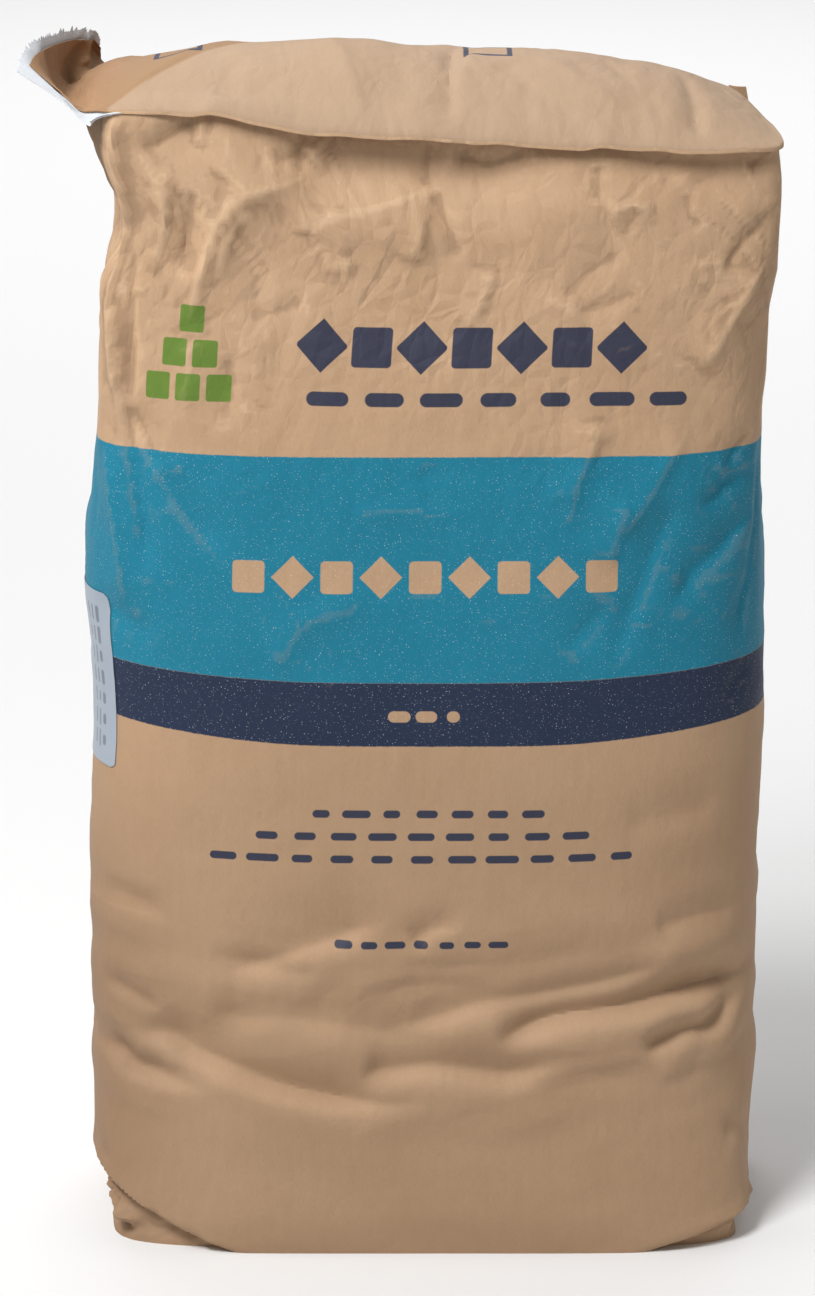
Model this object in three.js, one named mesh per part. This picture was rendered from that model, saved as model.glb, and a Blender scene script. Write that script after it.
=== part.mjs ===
// A filled 25 kg paper valve sack of sugar, standing upright on its pasted bottom.
// Millimetres, +Z up, the printed front towards -Y, origin on the floor under the middle of the sack.
import * as THREE from "three";

// The mesh round the sack: columns start at its right-hand end and run behind it to the left.
const COLUMNS = 80;
const HALF = COLUMNS / 2;
const GIRTH = 1040; // once round the paper

// Heights of the wall's rows: closer together at the foot, over the low folds and under the top edge.
const TOP_EDGE = 680;
const ROW_BANDS = [
  { upTo: 60, step: 10 },
  { upTo: 204, step: 9 },
  { upTo: 644, step: 20 },
  { upTo: TOP_EDGE, step: 12 },
];

// Half sizes of the sack at named heights. A corner of 2 is an ellipse, and a higher one is squarer.
const SECTIONS = [
  { at: "foot", z: 0, left: 201, right: 203, front: 88, back: 86, frontCorner: 6, backCorner: 6 },
  { at: "heel", z: 28, left: 204, right: 204, front: 93, back: 91, frontCorner: 4.2, backCorner: 4.2 },
  { at: "belly", z: 110, left: 204, right: 202, front: 96, back: 95, frontCorner: 3.1, backCorner: 3.1 },
  { at: "waist", z: 240, left: 203, right: 201, front: 97, back: 96, frontCorner: 2.9, backCorner: 2.9 },
  { at: "middle", z: 340, left: 198, right: 202, front: 96, back: 95, frontCorner: 2.9, backCorner: 2.9 },
  { at: "printed band", z: 415, left: 201, right: 199, front: 92, back: 92, frontCorner: 3.2, backCorner: 3 },
  { at: "shoulder", z: 500, left: 192, right: 195, front: 85, back: 86, frontCorner: 4, backCorner: 3.4 },
  { at: "slack paper", z: 575, left: 187, right: 197, front: 76, back: 80, frontCorner: 4.8, backCorner: 4 },
  { at: "pinch", z: 616, left: 180, right: 202, front: 70, back: 75, frontCorner: 6, backCorner: 5 },
  { at: "ear", z: 654, left: 197, right: 204, front: 68, back: 71, frontCorner: 7, backCorner: 6 },
  { at: "top edge", z: TOP_EDGE, left: 199, right: 204, front: 68, back: 70, frontCorner: 8, backCorner: 7 },
];

// The top panel: its edges tilt up towards the back, and the sugar domes it by a crown above them.
const PANEL = { front: 671, back: 690 };
const CROWN = [
  { x: -202, rise: 8 },
  { x: -175, rise: 18 },
  { x: -132, rise: 26 },
  { x: -90, rise: 32 },
  { x: -47, rise: 37 },
  { x: -8, rise: 33 },
  { x: 50, rise: 31 },
  { x: 110, rise: 28 },
  { x: 150, rise: 24 },
  { x: 180, rise: 13 },
  { x: 206, rise: 0 },
];
const SLACK_FROM = 470; // above this height the wall stretches to meet the panel's edge
const RIGHT_TAPER = 0.14; // how much the panel's right-hand end draws in towards the back
const LEFT_TAPER = 0.03; // how much the left-hand end, under the valve, draws in towards the front
const LIP = { drop: 3, tuck: 2, deepTuck: 6, tuckHeight: 42 }; // the panel's edge overhangs the front

// The folded corners of the pasted bottom, tucked in under the belly.
const FOOT_TUCK = 6;
const FOOT_FOLDS = [
  { from: -98, to: -225, height: 44 },
  { from: 110, to: 216, height: 21 },
];

// The large slack folds low on the front: s is the way round from the middle of the front.
const FOLDS = [
  {
    at: "low left fold",
    path: [[-222, 132], [-188, 138], [-134, 130], [-79, 109], [-10, 103]],
    depth: 6,
    width: 12,
  },
  {
    at: "low right fold",
    path: [[232, 188], [190, 176], [129, 163], [52, 146], [8, 128]],
    depth: 5,
    width: 11,
  },
  { at: "left pleat", path: [[-190, 519], [-160, 492], [-131, 455], [-110, 420]], depth: 4, width: 13 },
];

// The two plies of the filling valve, from the panel that they are glued to, over its left-hand edge,
// to the mouth.
const PLY = 0.8;
const PLY_GAP = 0.9;
const GLUE = 3; // how far above the panel the first two points of a strip lie
const SLEEVE_STRIPS = [
  { at: "front edge", glued: [[-172, -60], [-188, -61]], free: [[-206, -55, 701], [-222, -50, 714]] },
  { at: "front groove", glued: [[-178, -44], [-197, -43]], free: [[-210, -33, 703], [-213, -30, 719]] },
  { at: "middle", glued: [[-182, -12], [-201, -10]], free: [[-210, -4, 706], [-207, 0, 718]] },
  { at: "back crease", glued: [[-180, 10], [-200, 10]], free: [[-206, 12, 707], [-199, 19, 716]] },
  { at: "ridge", glued: [[-178, 28], [-196, 29]], free: [[-200, 29, 707], [-197, 27, 716]] },
  { at: "back flap", glued: [[-176, 48], [-192, 50]], free: [[-196, 48, 704], [-195, 40, 714]] },
];
const LINING = { from: 0.42, proud: 6, wide: 7 }; // where the white ply starts, and how far it sticks out
const SHEET_STEPS = { across: 20, along: 8 };

// The address label on the left-hand side, by columns round the sack and by height.
const LABEL = { firstColumn: 38, lastColumn: 45, bottom: 300, top: 408, lift: 0.5, thickness: 0.6 };

// 0 at `from` and 1 at `to`, with a smooth step between, whichever of the two is larger.
const smooth = (from, to, x) => THREE.MathUtils.smoothstep((x - from) / (to - from), 0, 1);

// A smooth curve through one value of a list of stations, read at a place along it.
function valueAt(stations, along, key, place) {
  const last = stations.length - 1;
  const slope = (k) => {
    const low = stations[Math.max(k - 1, 0)];
    const high = stations[Math.min(k + 1, last)];
    return (high[key] - low[key]) / (high[along] - low[along]);
  };
  let k = 0;
  while (k < last - 1 && place > stations[k + 1][along]) k++;
  const low = stations[k];
  const high = stations[k + 1];
  const h = high[along] - low[along];
  const t = THREE.MathUtils.clamp((place - low[along]) / h, 0, 1);
  const t2 = t * t;
  const t3 = t2 * t;
  return (
    (2 * t3 - 3 * t2 + 1) * low[key] +
    (t3 - 2 * t2 + t) * h * slope(k) +
    (3 * t2 - 2 * t3) * high[key] +
    (t3 - t2) * h * slope(k + 1)
  );
}

const sizeAt = (key, z) => valueAt(SECTIONS, "z", key, z);

// HALF + 1 points spaced evenly along one side of the outline, from the right-hand end to the left.
function halfOutline(z, depth, corner) {
  const right = sizeAt("right", z);
  const left = sizeAt("left", z);
  const fine = 240;
  const points = [];
  for (let k = 0; k <= fine; k++) {
    const turn = (Math.PI * k) / fine;
    const across = Math.cos(turn);
    const reach = (across > 0 ? right : left) * Math.sign(across);
    const x = reach * Math.abs(across) ** (2 / corner);
    points.push(new THREE.Vector2(x, depth * Math.sin(turn) ** (2 / corner)));
  }
  points[fine].y = 0;
  const travelled = [0];
  for (let k = 1; k <= fine; k++) travelled.push(travelled[k - 1] + points[k].distanceTo(points[k - 1]));
  const spaced = [];
  for (let i = 0, k = 1; i <= HALF; i++) {
    const goal = (travelled[fine] * i) / HALF;
    while (k < fine && travelled[k] < goal) k++;
    const share = (goal - travelled[k - 1]) / (travelled[k] - travelled[k - 1]);
    spaced.push(points[k - 1].clone().lerp(points[k], Math.min(share, 1)));
  }
  return spaced;
}

// The closed outline at one height: behind from right to left, then along the front from left to right.
function outline(z) {
  const behind = halfOutline(z, sizeAt("back", z), sizeAt("backCorner", z));
  const before = halfOutline(z, -sizeAt("front", z), sizeAt("frontCorner", z));
  const ring = [...behind.slice(0, HALF), ...before.reverse().slice(0, HALF)];
  const right = RIGHT_TAPER * smooth(560, TOP_EDGE, z);
  const left = LEFT_TAPER * smooth(590, 650, z);
  for (const p of ring) p.x *= 1 - (p.x > 0 ? right * smooth(-68, 68, p.y) : left * smooth(10, -62, p.y));
  return ring;
}

// The way round from the middle of the front, in millimetres, positive to the right.
function wayRound(column) {
  const s = ((column - 1.5 * HALF) * GIRTH) / COLUMNS;
  return s < -GIRTH / 2 ? s + GIRTH : s;
}

const outward = (ring, i) => {
  const next = ring[(i + 1) % COLUMNS];
  const last = ring[(i + COLUMNS - 1) % COLUMNS];
  return new THREE.Vector2(next.y - last.y, last.x - next.x).normalize();
};

function panelHeight(x, y) {
  const front = PANEL.front + 14 * smooth(-20, -150, x) - 4.5 * smooth(100, 160, x);
  const back = PANEL.back - 12 * smooth(60, 200, x);
  const along = THREE.MathUtils.clamp((y + 68) / 138, 0, 1);
  const crown = valueAt(CROWN, "x", "rise", x);
  return front + (back - front) * along + crown * (4 * along * (1 - along)) ** 0.8;
}

// How deep a fold presses at the point (s, z): a groove above its path and a ledge below it.
function foldDepth(fold, s, z) {
  let nearest = Infinity;
  let above = 0;
  let done = 0;
  const links = fold.path.length - 1;
  for (let k = 0; k < links; k++) {
    const [s0, z0] = fold.path[k];
    const [s1, z1] = fold.path[k + 1];
    const ds = s1 - s0;
    const dz = z1 - z0;
    const t = THREE.MathUtils.clamp(((s - s0) * ds + (z - z0) * dz) / (ds * ds + dz * dz), 0, 1);
    const off = Math.hypot(s - s0 - t * ds, z - z0 - t * dz);
    if (off < nearest) {
      nearest = off;
      above = (z - z0 - t * dz) * Math.sign(Math.abs(ds) + 1);
      done = (k + t) / links;
    }
  }
  const ends = Math.min(1, 4 * done, 4 * (1 - done));
  const groove = Math.exp(-((nearest / fold.width) ** 2));
  const ledge = above < 0 ? 0.7 * Math.exp(-(((nearest - 1.7 * fold.width) / fold.width) ** 2)) : 0;
  return fold.depth * ends * (groove - ledge);
}

// The back's corners are tucked in like the front's, so s counts from the middle of either face.
function footTuck(s, z) {
  const off = Math.abs(s) < GIRTH / 4 ? s : Math.sign(s) * (GIRTH / 2 - Math.abs(s));
  return FOOT_FOLDS.reduce((sum, fold) => {
    const crease = fold.height * smooth(fold.from, fold.to, off);
    return sum + FOOT_TUCK * smooth(crease, crease - 8, z) * smooth(0, 12, crease);
  }, 0);
}

function lipTuck(s, x) {
  const deep = smooth(-160, -125, x) * smooth(-50, -80, x) + smooth(60, 90, x) * smooth(205, 180, x);
  return LIP.tuck + (Math.abs(s) < GIRTH / 4 ? LIP.deepTuck * deep : 0);
}

// One ring of the wall, with its folds pressed in.
function wallRing(z) {
  const ring = outline(z);
  const edge = outline(TOP_EDGE);
  const stretch = smooth(SLACK_FROM, TOP_EDGE, z);
  return ring.map((p, i) => {
    const s = wayRound(i);
    const folds = FOLDS.reduce((sum, fold) => sum + foldDepth(fold, s, z), 0);
    const lip = lipTuck(s, p.x) * smooth(TOP_EDGE - LIP.tuckHeight, TOP_EDGE, z);
    const out = outward(ring, i).multiplyScalar(-folds - lip - footTuck(s, z));
    const rise = panelHeight(edge[i].x, edge[i].y) - TOP_EDGE;
    return new THREE.Vector3(p.x + out.x, p.y + out.y, z + rise * stretch - (z === TOP_EDGE ? 1 : 0));
  });
}

function rowHeights() {
  const heights = [0];
  for (const band of ROW_BANDS) {
    const from = heights[heights.length - 1];
    const rows = Math.round((band.upTo - from) / band.step);
    for (let k = 1; k <= rows; k++) heights.push(from + ((band.upTo - from) * k) / rows);
  }
  return heights;
}

// The point under or over column i on the line that joins the sack's two ends.
function middlePoint(ring, i) {
  const twin = ring[(COLUMNS - i) % COLUMNS];
  return new THREE.Vector2((ring[i].x + twin.x) * 0.46, 2);
}

function baseRings() {
  const foot = wallRing(0);
  return [1, 0.66, 0.3, 0.08].map((inset) =>
    foot.map((p, i) => {
      const middle = middlePoint(foot, i);
      return new THREE.Vector3(p.x + (middle.x - p.x) * inset, p.y + (middle.y - p.y) * inset, 0);
    }),
  );
}

function lidRings() {
  const edge = outline(TOP_EDGE);
  const lip = edge.map((p) => new THREE.Vector3(p.x, p.y, panelHeight(p.x, p.y) - LIP.drop));
  const rings = [0, 0.1, 0.25, 0.42, 0.6, 0.8, 1].map((inset) =>
    edge.map((p, i) => {
      const q = p.clone().lerp(middlePoint(edge, i), inset);
      return new THREE.Vector3(q.x, q.y, panelHeight(q.x, q.y));
    }),
  );
  return [lip, ...rings];
}

function geometryOf(points, faces) {
  const geometry = new THREE.BufferGeometry();
  geometry.setAttribute("position", new THREE.Float32BufferAttribute(points.flatMap((p) => p.toArray()), 3));
  geometry.setIndex(faces.flat());
  geometry.computeVertexNormals();
  return geometry;
}

// A skin over closed rings. The first and last ring are folded flat on the middle line, column on twin.
function closedSkin(rings) {
  const last = rings.length - 1;
  const index = (j, i) => {
    const column = (i + COLUMNS) % COLUMNS;
    const folded = j === 0 || j === last;
    return j * COLUMNS + (folded ? Math.min(column, (COLUMNS - column) % COLUMNS) : column);
  };
  const faces = [];
  for (let j = 0; j < last; j++) {
    for (let i = 0; i < COLUMNS; i++) {
      const [a, b, c, d] = [index(j, i), index(j, i + 1), index(j + 1, i + 1), index(j + 1, i)];
      faces.push([a, b, c], [a, c, d]);
    }
  }
  return geometryOf(rings.flat(), faces);
}

// A closed sheet: the grid of points is its inner face, and the outer one is a thickness away.
function sheet(grid, lift, thickness) {
  const rows = grid.length;
  const columns = grid[0].length;
  const normal = (j, i) => {
    const across = grid[j][Math.min(i + 1, columns - 1)].clone().sub(grid[j][Math.max(i - 1, 0)]);
    const along = grid[Math.min(j + 1, rows - 1)][i].clone().sub(grid[Math.max(j - 1, 0)][i]);
    return across.cross(along).normalize();
  };
  const moved = (p, j, i, off) => p.clone().addScaledVector(normal(j, i), off);
  const face = (off) => grid.flatMap((row, j) => row.map((p, i) => moved(p, j, i, off)));
  const count = rows * columns;
  const faces = [];
  for (let j = 0; j < rows - 1; j++) {
    for (let i = 0; i < columns - 1; i++) {
      const a = j * columns + i;
      const [b, c, d] = [a + 1, a + columns + 1, a + columns];
      faces.push([count + a, count + b, count + c], [count + a, count + c, count + d]);
      faces.push([a, c, b], [a, d, c]);
    }
  }
  const border = [];
  for (let i = 0; i < columns - 1; i++) border.push(i);
  for (let j = 0; j < rows - 1; j++) border.push((j + 1) * columns - 1);
  for (let i = columns - 1; i > 0; i--) border.push((rows - 1) * columns + i);
  for (let j = rows - 1; j > 0; j--) border.push(j * columns);
  border.forEach((a, k) => {
    const b = border[(k + 1) % border.length];
    faces.push([a, b, count + b], [a, count + b, count + a]);
  });
  return geometryOf([...face(lift), ...face(lift + thickness)], faces);
}

// A grid of points on one ply of the valve, from the share `from` of its length to the mouth. A ply may
// stand proud of the mouth and be wider at its front edge.
function plyGrid({ from, proud, wide }) {
  const strips = SLEEVE_STRIPS.map((strip) => {
    const glued = strip.glued.map(([x, y]) => [x, y, panelHeight(x, y) + GLUE]);
    return new THREE.CatmullRomCurve3([...glued, ...strip.free].map((p) => new THREE.Vector3(...p)));
  });
  const grid = [];
  for (let j = 0; j <= SHEET_STEPS.along; j++) {
    const t = from + ((1 - from) * j) / SHEET_STEPS.along;
    const past = proud * THREE.MathUtils.smoothstep(j / SHEET_STEPS.along, 0.5, 1);
    const points = strips.map((strip) => strip.getPoint(t).addScaledVector(strip.getTangent(t), past));
    if (wide > 0) points.unshift(points[0].clone().lerp(points[1], -wide / points[0].distanceTo(points[1])));
    grid.push(new THREE.CatmullRomCurve3(points).getPoints(SHEET_STEPS.across).reverse());
  }
  return grid;
}

const kraft = new THREE.MeshStandardMaterial({ color: 0xc4a688, roughness: 0.8, metalness: 0 });
const innerKraft = new THREE.MeshStandardMaterial({ color: 0xa97c53, roughness: 0.82, metalness: 0 });
const whitePly = new THREE.MeshStandardMaterial({ color: 0xe9eaec, roughness: 0.75, metalness: 0 });
const labelStock = new THREE.MeshStandardMaterial({ color: 0xd6dfe8, roughness: 0.45, metalness: 0 });

const sack = new THREE.Group();

function add(name, geometry, material) {
  const mesh = new THREE.Mesh(geometry, material);
  mesh.name = name;
  sack.add(mesh);
}

const walls = rowHeights().map(wallRing);
add("sack_body", closedSkin([...baseRings(), ...walls, ...lidRings()]), kraft);

add("valve_sleeve", sheet(plyGrid({ from: 0, proud: 0, wide: 0 }), 0, PLY), innerKraft);
add("valve_lining", sheet(plyGrid(LINING), PLY + PLY_GAP, PLY), whitePly);

const labelRows = walls.filter((ring) => ring[HALF].z >= LABEL.bottom && ring[HALF].z <= LABEL.top);
const labelGrid = labelRows.map((ring) => ring.slice(LABEL.firstColumn, LABEL.lastColumn + 1));
add("side_label", sheet(labelGrid, LABEL.lift, LABEL.thickness), labelStock);

export default sack;
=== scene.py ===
# %% [markdown]
# # A filled paper sack of sugar
#
# The object is a 25 kg paper valve sack, standing on its pasted bottom. Two or three plies of kraft paper
# are glued into a tube, both ends are folded flat, and the sack is filled through a small sleeve at one
# top corner. We load the solid model first: it fixes every size.

# %% Load the frame
import math

import bpy
import numpy as np
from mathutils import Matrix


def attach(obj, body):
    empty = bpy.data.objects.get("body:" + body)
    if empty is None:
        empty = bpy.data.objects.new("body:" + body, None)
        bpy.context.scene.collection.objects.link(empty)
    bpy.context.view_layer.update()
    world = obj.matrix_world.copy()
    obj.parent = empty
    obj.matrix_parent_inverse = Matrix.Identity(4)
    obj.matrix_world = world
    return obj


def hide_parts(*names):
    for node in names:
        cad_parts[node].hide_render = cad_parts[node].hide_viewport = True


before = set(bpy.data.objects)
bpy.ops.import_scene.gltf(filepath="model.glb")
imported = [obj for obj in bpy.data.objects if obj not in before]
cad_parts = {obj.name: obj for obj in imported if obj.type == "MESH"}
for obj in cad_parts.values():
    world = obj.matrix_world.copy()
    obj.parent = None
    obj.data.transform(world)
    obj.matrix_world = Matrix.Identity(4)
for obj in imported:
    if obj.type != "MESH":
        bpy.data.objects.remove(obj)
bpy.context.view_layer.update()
MM = 0.001  # the shapes below are worked out in millimetres and stored in metres
print("nodes:", sorted(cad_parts))

# %% [markdown]
# ## Camera
#
# The photograph is an upright frame taken with a long lens from a little over 2 m away. The lens looks
# down by 17.5 degrees, which shows the top panel and the front together. Blender measures the sensor
# along the longer side, so the lens follows from the picture's height and its angle of view.

# %% The photograph's viewpoint
CAMERA_PLACE = (-0.011, -2.2, 1.05)
CAMERA_PITCH = 17.5  # degrees below the horizon
VIEW_HEIGHT = 19.1  # degrees from the top to the bottom of the picture


def placed(name, data):
    """A new object in the scene, at the origin."""
    made = bpy.data.objects.new(name, data)
    bpy.context.scene.collection.objects.link(made)
    return made


camera_data = bpy.data.cameras.new("camera")
camera_data.sensor_width = 36
camera_data.lens = 18 / math.tan(math.radians(VIEW_HEIGHT / 2))
camera = placed("camera", camera_data)
camera.location = CAMERA_PLACE
camera.rotation_euler = (math.radians(90 - CAMERA_PITCH), 0, 0)
bpy.context.scene.camera = camera
print("lens:", round(camera_data.lens, 1), "mm")

# %% [markdown]
# ## Small maths helpers
#
# Paper is described with two numbers: `s`, the way round the sack in millimetres from the middle of the
# front, positive to the right, and `z`, the height. Every fold below is written in those two, as a
# sack maker would mark it on the flat tube. Four helpers do most of the work: a smooth step, a window
# made of two such steps, a smooth curve through named stations, and a soft noise that repeats once round
# the sack.

# %% Smooth step, station curve and noise
GIRTH = 1040.0  # once round the paper


def smooth(low, high, x):
    """0 at low and 1 at high, with a smooth step between, whichever of the two is larger."""
    t = np.clip((x - low) / (high - low), 0, 1)
    return t * t * (3 - 2 * t)


def within(x, start, full, drop, end):
    """0 up to the start, 1 from full to drop, and 0 again from the end on."""
    return smooth(start, full, x) * smooth(end, drop, x)


def station_curve(places, values, x):
    """A smooth curve through values at places, the same one that the solid model uses."""
    places, values = np.asarray(places, float), np.asarray(values, float)
    last = len(places) - 1
    low = np.maximum(np.arange(last + 1) - 1, 0)
    high = np.minimum(np.arange(last + 1) + 1, last)
    slope = (values[high] - values[low]) / (places[high] - places[low])
    k = np.clip(np.searchsorted(places, x, side="left") - 1, 0, last - 1)
    h = places[k + 1] - places[k]
    t = np.clip((x - places[k]) / h, 0, 1)
    t2, t3 = t * t, t * t * t
    start = (2 * t3 - 3 * t2 + 1) * values[k] + (t3 - 2 * t2 + t) * h * slope[k]
    return start + (3 * t2 - 2 * t3) * values[k + 1] + (t3 - t2) * h * slope[k + 1]


def soft_noise(s, z, size, seed):
    """Smooth random hills between -1 and 1. size is (along s, along z), and s repeats after GIRTH."""
    around = max(2, round(GIRTH / size[0]))
    grid = np.random.default_rng(seed).uniform(-1, 1, (around, 64))
    a = (s / GIRTH) * around
    b = z / size[1] + 16
    i, j = np.floor(a).astype(int), np.floor(b).astype(int)
    fa, fb = a - i, b - j
    fa, fb = fa * fa * (3 - 2 * fa), fb * fb * (3 - 2 * fb)
    i0, i1, j0, j1 = i % around, (i + 1) % around, j % 64, (j + 1) % 64
    near = grid[i0, j0] * (1 - fa) + grid[i1, j0] * fa
    far = grid[i0, j1] * (1 - fa) + grid[i1, j1] * fa
    return near * (1 - fb) + far * fb


print("smooth(0, 10, 5) =", float(smooth(0, 10, 5)))

# %% [markdown]
# ## The sack's form
#
# A filled sack is close to a squared-off ellipse at each height: flat and wide at the pasted ends, rounder
# where the sugar presses on the paper. The named sections below are the solid model's own, so both
# forms agree. Between them a smooth curve gives every other height.

# %% Named sections and the top panel
TOP_EDGE = 680.0
SECTIONS = [
    # height, left, right, front, back, front corner, back corner
    ("foot", 0, 201, 203, 88, 86, 6, 6),
    ("heel", 28, 204, 204, 93, 91, 4.2, 4.2),
    ("belly", 110, 204, 202, 96, 95, 3.1, 3.1),
    ("waist", 240, 203, 201, 97, 96, 2.9, 2.9),
    ("middle", 340, 198, 202, 96, 95, 2.9, 2.9),
    ("printed band", 415, 201, 199, 92, 92, 3.2, 3),
    ("shoulder", 500, 192, 195, 85, 86, 4, 3.4),
    ("slack paper", 575, 187, 197, 76, 80, 4.8, 4),
    ("pinch", 616, 180, 202, 70, 75, 6, 5),
    ("ear", 654, 197, 204, 68, 71, 7, 6),
    ("top edge", TOP_EDGE, 199, 204, 68, 70, 8, 7),
]
SECTION_KEYS = ("z", "left", "right", "front", "back", "front corner", "back corner")
SIZES = {key: [row[1 + k] for row in SECTIONS] for k, key in enumerate(SECTION_KEYS)}
RIGHT_TAPER = 0.14  # the right-hand end of the panel draws in towards the back
LEFT_TAPER = 0.03  # the left-hand end, under the valve, draws in towards the front
CROWN = [(-202, 8), (-175, 18), (-132, 26), (-90, 32), (-47, 37), (-8, 33), (50, 31), (110, 28), (150, 24),
         (180, 13), (206, 0)]


def size_at(key, z):
    """One size of the sections, at any height."""
    return float(station_curve(SIZES["z"], SIZES[key], z))


def panel_height(x, y):
    """The height of the top panel: its edges tilt up to the back, and the sugar domes it."""
    front = 671 + 14 * smooth(-20, -150, x) - 4.5 * smooth(100, 160, x)
    back = 690 - 12 * smooth(60, 200, x)
    along = np.clip((y + 68) / 138, 0, 1)
    crown = station_curve([c[0] for c in CROWN], [c[1] for c in CROWN], x)
    return front + (back - front) * along + crown * (4 * along * (1 - along)) ** 0.8


print(len(SECTIONS), "sections, from", SECTIONS[0][0], "to", SECTIONS[-1][0])

# %% [markdown]
# ## Rings
#
# One ring of the wall is a superellipse walked at even steps, so that a column of points always lies on
# the same line of the paper. The first column is the middle of the back, where the paper's glued seam
# would be; the front is half way round.

# %% One ring of the wall
COLUMNS = 360
HALF = COLUMNS // 2
S = (np.arange(COLUMNS) / COLUMNS - 0.5) * GIRTH  # the way round of each column


def half_outline(z, depth, corner):
    """HALF + 1 points spaced evenly along the front or the back, from the right-hand end to the left."""
    turn = np.linspace(0, math.pi, 721)
    across = np.cos(turn)
    reach = np.where(across > 0, size_at("right", z), size_at("left", z))
    x = reach * np.sign(across) * np.abs(across) ** (2 / corner)
    y = depth * np.clip(np.sin(turn), 0, 1) ** (2 / corner)
    travelled = np.concatenate([[0], np.cumsum(np.hypot(np.diff(x), np.diff(y)))])
    even = np.linspace(0, travelled[-1], HALF + 1)
    return np.interp(even, travelled, x), np.interp(even, travelled, y)


def outline(z):
    """The closed outline at one height, as x and y for each column."""
    bx, by = half_outline(z, size_at("back", z), size_at("back corner", z))
    fx, fy = half_outline(z, -size_at("front", z), size_at("front corner", z))
    x = np.roll(np.concatenate([bx[:-1], fx[::-1][:-1]]), -HALF // 2)
    y = np.roll(np.concatenate([by[:-1], fy[::-1][:-1]]), -HALF // 2)
    right = 1 - RIGHT_TAPER * smooth(560, TOP_EDGE, z) * smooth(-68, 68, y)
    left = 1 - LEFT_TAPER * smooth(590, 650, z) * smooth(10, -62, y)
    return x * np.where(x > 0, right, left), y


def outward(x, y):
    """The level direction out of the wall at each column."""
    nx = np.roll(y, -1) - np.roll(y, 1)
    ny = np.roll(x, 1) - np.roll(x, -1)
    length = np.hypot(nx, ny)
    return nx / length, ny / length


print("outline at the belly:", [round(float(a.min())) for a in outline(110)], "to",
      [round(float(a.max())) for a in outline(110)])

# %% [markdown]
# ## Folds
#
# Paper can't stretch, so where the sack slumps it gives way in folds. Two profiles cover them all. A
# **slump** is a pinch that the paper above hangs over: the paper curls in slowly from above, turns at the
# pinch, and comes out below it as a ledge that catches the light. A **crease** is a sharp ridge, or
# with a negative height a sharp valley, that may fall away faster on one side. Each one follows a short
# path on the flat paper, and fades out at its ends.

# %% Distance to a path
FOLD_REACH = 60.0  # no fold matters past this distance from its path, in mm


def along_path(path, s, z):
    """For each point: its signed distance to the path (positive above or right of it) and its progress."""
    points = np.asarray(path, float)
    if len(points) > 2:
        knots = np.arange(len(points))
        steps = np.linspace(0, len(points) - 1, 4 * (len(points) - 1) + 1)
        points = np.stack([station_curve(knots, points[:, k], steps) for k in (0, 1)], 1)
    best = np.full(s.shape, 1e9)
    signed, progress = np.zeros(s.shape), np.zeros(s.shape)
    for k, (p, q) in enumerate(zip(points[:-1], points[1:])):
        d = q - p
        side = np.sign(d[0]) if abs(d[0]) >= abs(d[1]) else -np.sign(d[1])
        ds = (s - p[0] + GIRTH / 2) % GIRTH - GIRTH / 2
        t = np.clip((ds * d[0] + (z - p[1]) * d[1]) / (d @ d), 0, 1)
        off_s, off_z = ds - t * d[0], z - p[1] - t * d[1]
        off = np.hypot(off_s, off_z)
        nearer = off < best
        best = np.where(nearer, off, best)
        signed = np.where(nearer, np.sign((d[0] * off_z - d[1] * off_s) * side) * off, signed)
        progress = np.where(nearer, (k + t) / (len(points) - 1), progress)
    return signed, progress


def near(path, s, z, reach):
    """Which points are close enough to a path for its fold to matter."""
    points = np.asarray(path, float)
    ds = (s - points[:, 0].mean() + GIRTH / 2) % GIRTH - GIRTH / 2
    half = np.ptp(points[:, 0]) / 2 + reach
    return (np.abs(ds) < half) & (z > points[:, 1].min() - reach) & (z < points[:, 1].max() + reach)


line = [(0, 0), (100, 0)]
probe = np.array([50.0]), np.array([5.0])
print("5 mm above a level path:", float(along_path(line, *probe)[0][0]), "mm off")

# %% The two fold profiles


def fade(progress, ends=0.22):
    """1 along a path, and 0 at its ends."""
    return within(progress, 0, ends, 1 - ends, 1)


def slump(s, z, path, depth, above=15, below=5.5, ledge=0.55):
    """A pinch under hanging paper: a slow curl in from above, the pinch, and a ledge below it."""
    off, progress = along_path(path, s, z)
    away = np.sqrt(off**2 + 5.0) - math.sqrt(5.0)
    pit = np.where(off > 0, np.exp(-((away / above) ** 1.25)), np.exp(-((away / below) ** 1.2)))
    low = np.where(off < 0, ledge * (1 - np.exp(-away / below)) * np.exp(-away / (4.5 * below)), 0)
    high = 0.2 * np.exp(-(((off - 2.0 * above) / (1.1 * above)) ** 2))
    reach = min(FOLD_REACH - 2, 3.4 * above)
    return depth * fade(progress) * (low + high - pit) * smooth(reach, 0.6 * reach, away)


def crease(s, z, path, height, right=6, left=6):
    """A sharp ridge, or a valley if height is negative: right is its reach to the right or above."""
    off, progress = along_path(path, s, z)
    reach = np.where(off > 0, right, left)
    return height * fade(progress) * np.exp(-(np.sqrt(off**2 + 1.0) - 1.0) / reach)


def pressed(profile, folds, s, z):
    """The sum of all folds of one profile, each worked out only where it matters."""
    total = np.zeros(s.shape)
    for path, *sizes in folds:
        here = near(path, s, z, FOLD_REACH)
        total[here] += profile(s[here], z[here], path, *sizes)
    return total


print("a slump's depth on its path:", float(slump(np.array([50.0]), np.array([0.0]), line, 5)[0]))

# %% [markdown]
# ## Crinkles
#
# Between the large folds the slack paper is crinkled: flat facets that meet in sharp little lines. Adding
# a few triangle waves in different directions gives just that, as each wave is two flat slopes
# meeting in an edge. A soft noise bends the waves and lets each one come and go.

# %% Faceted crinkle


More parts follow.
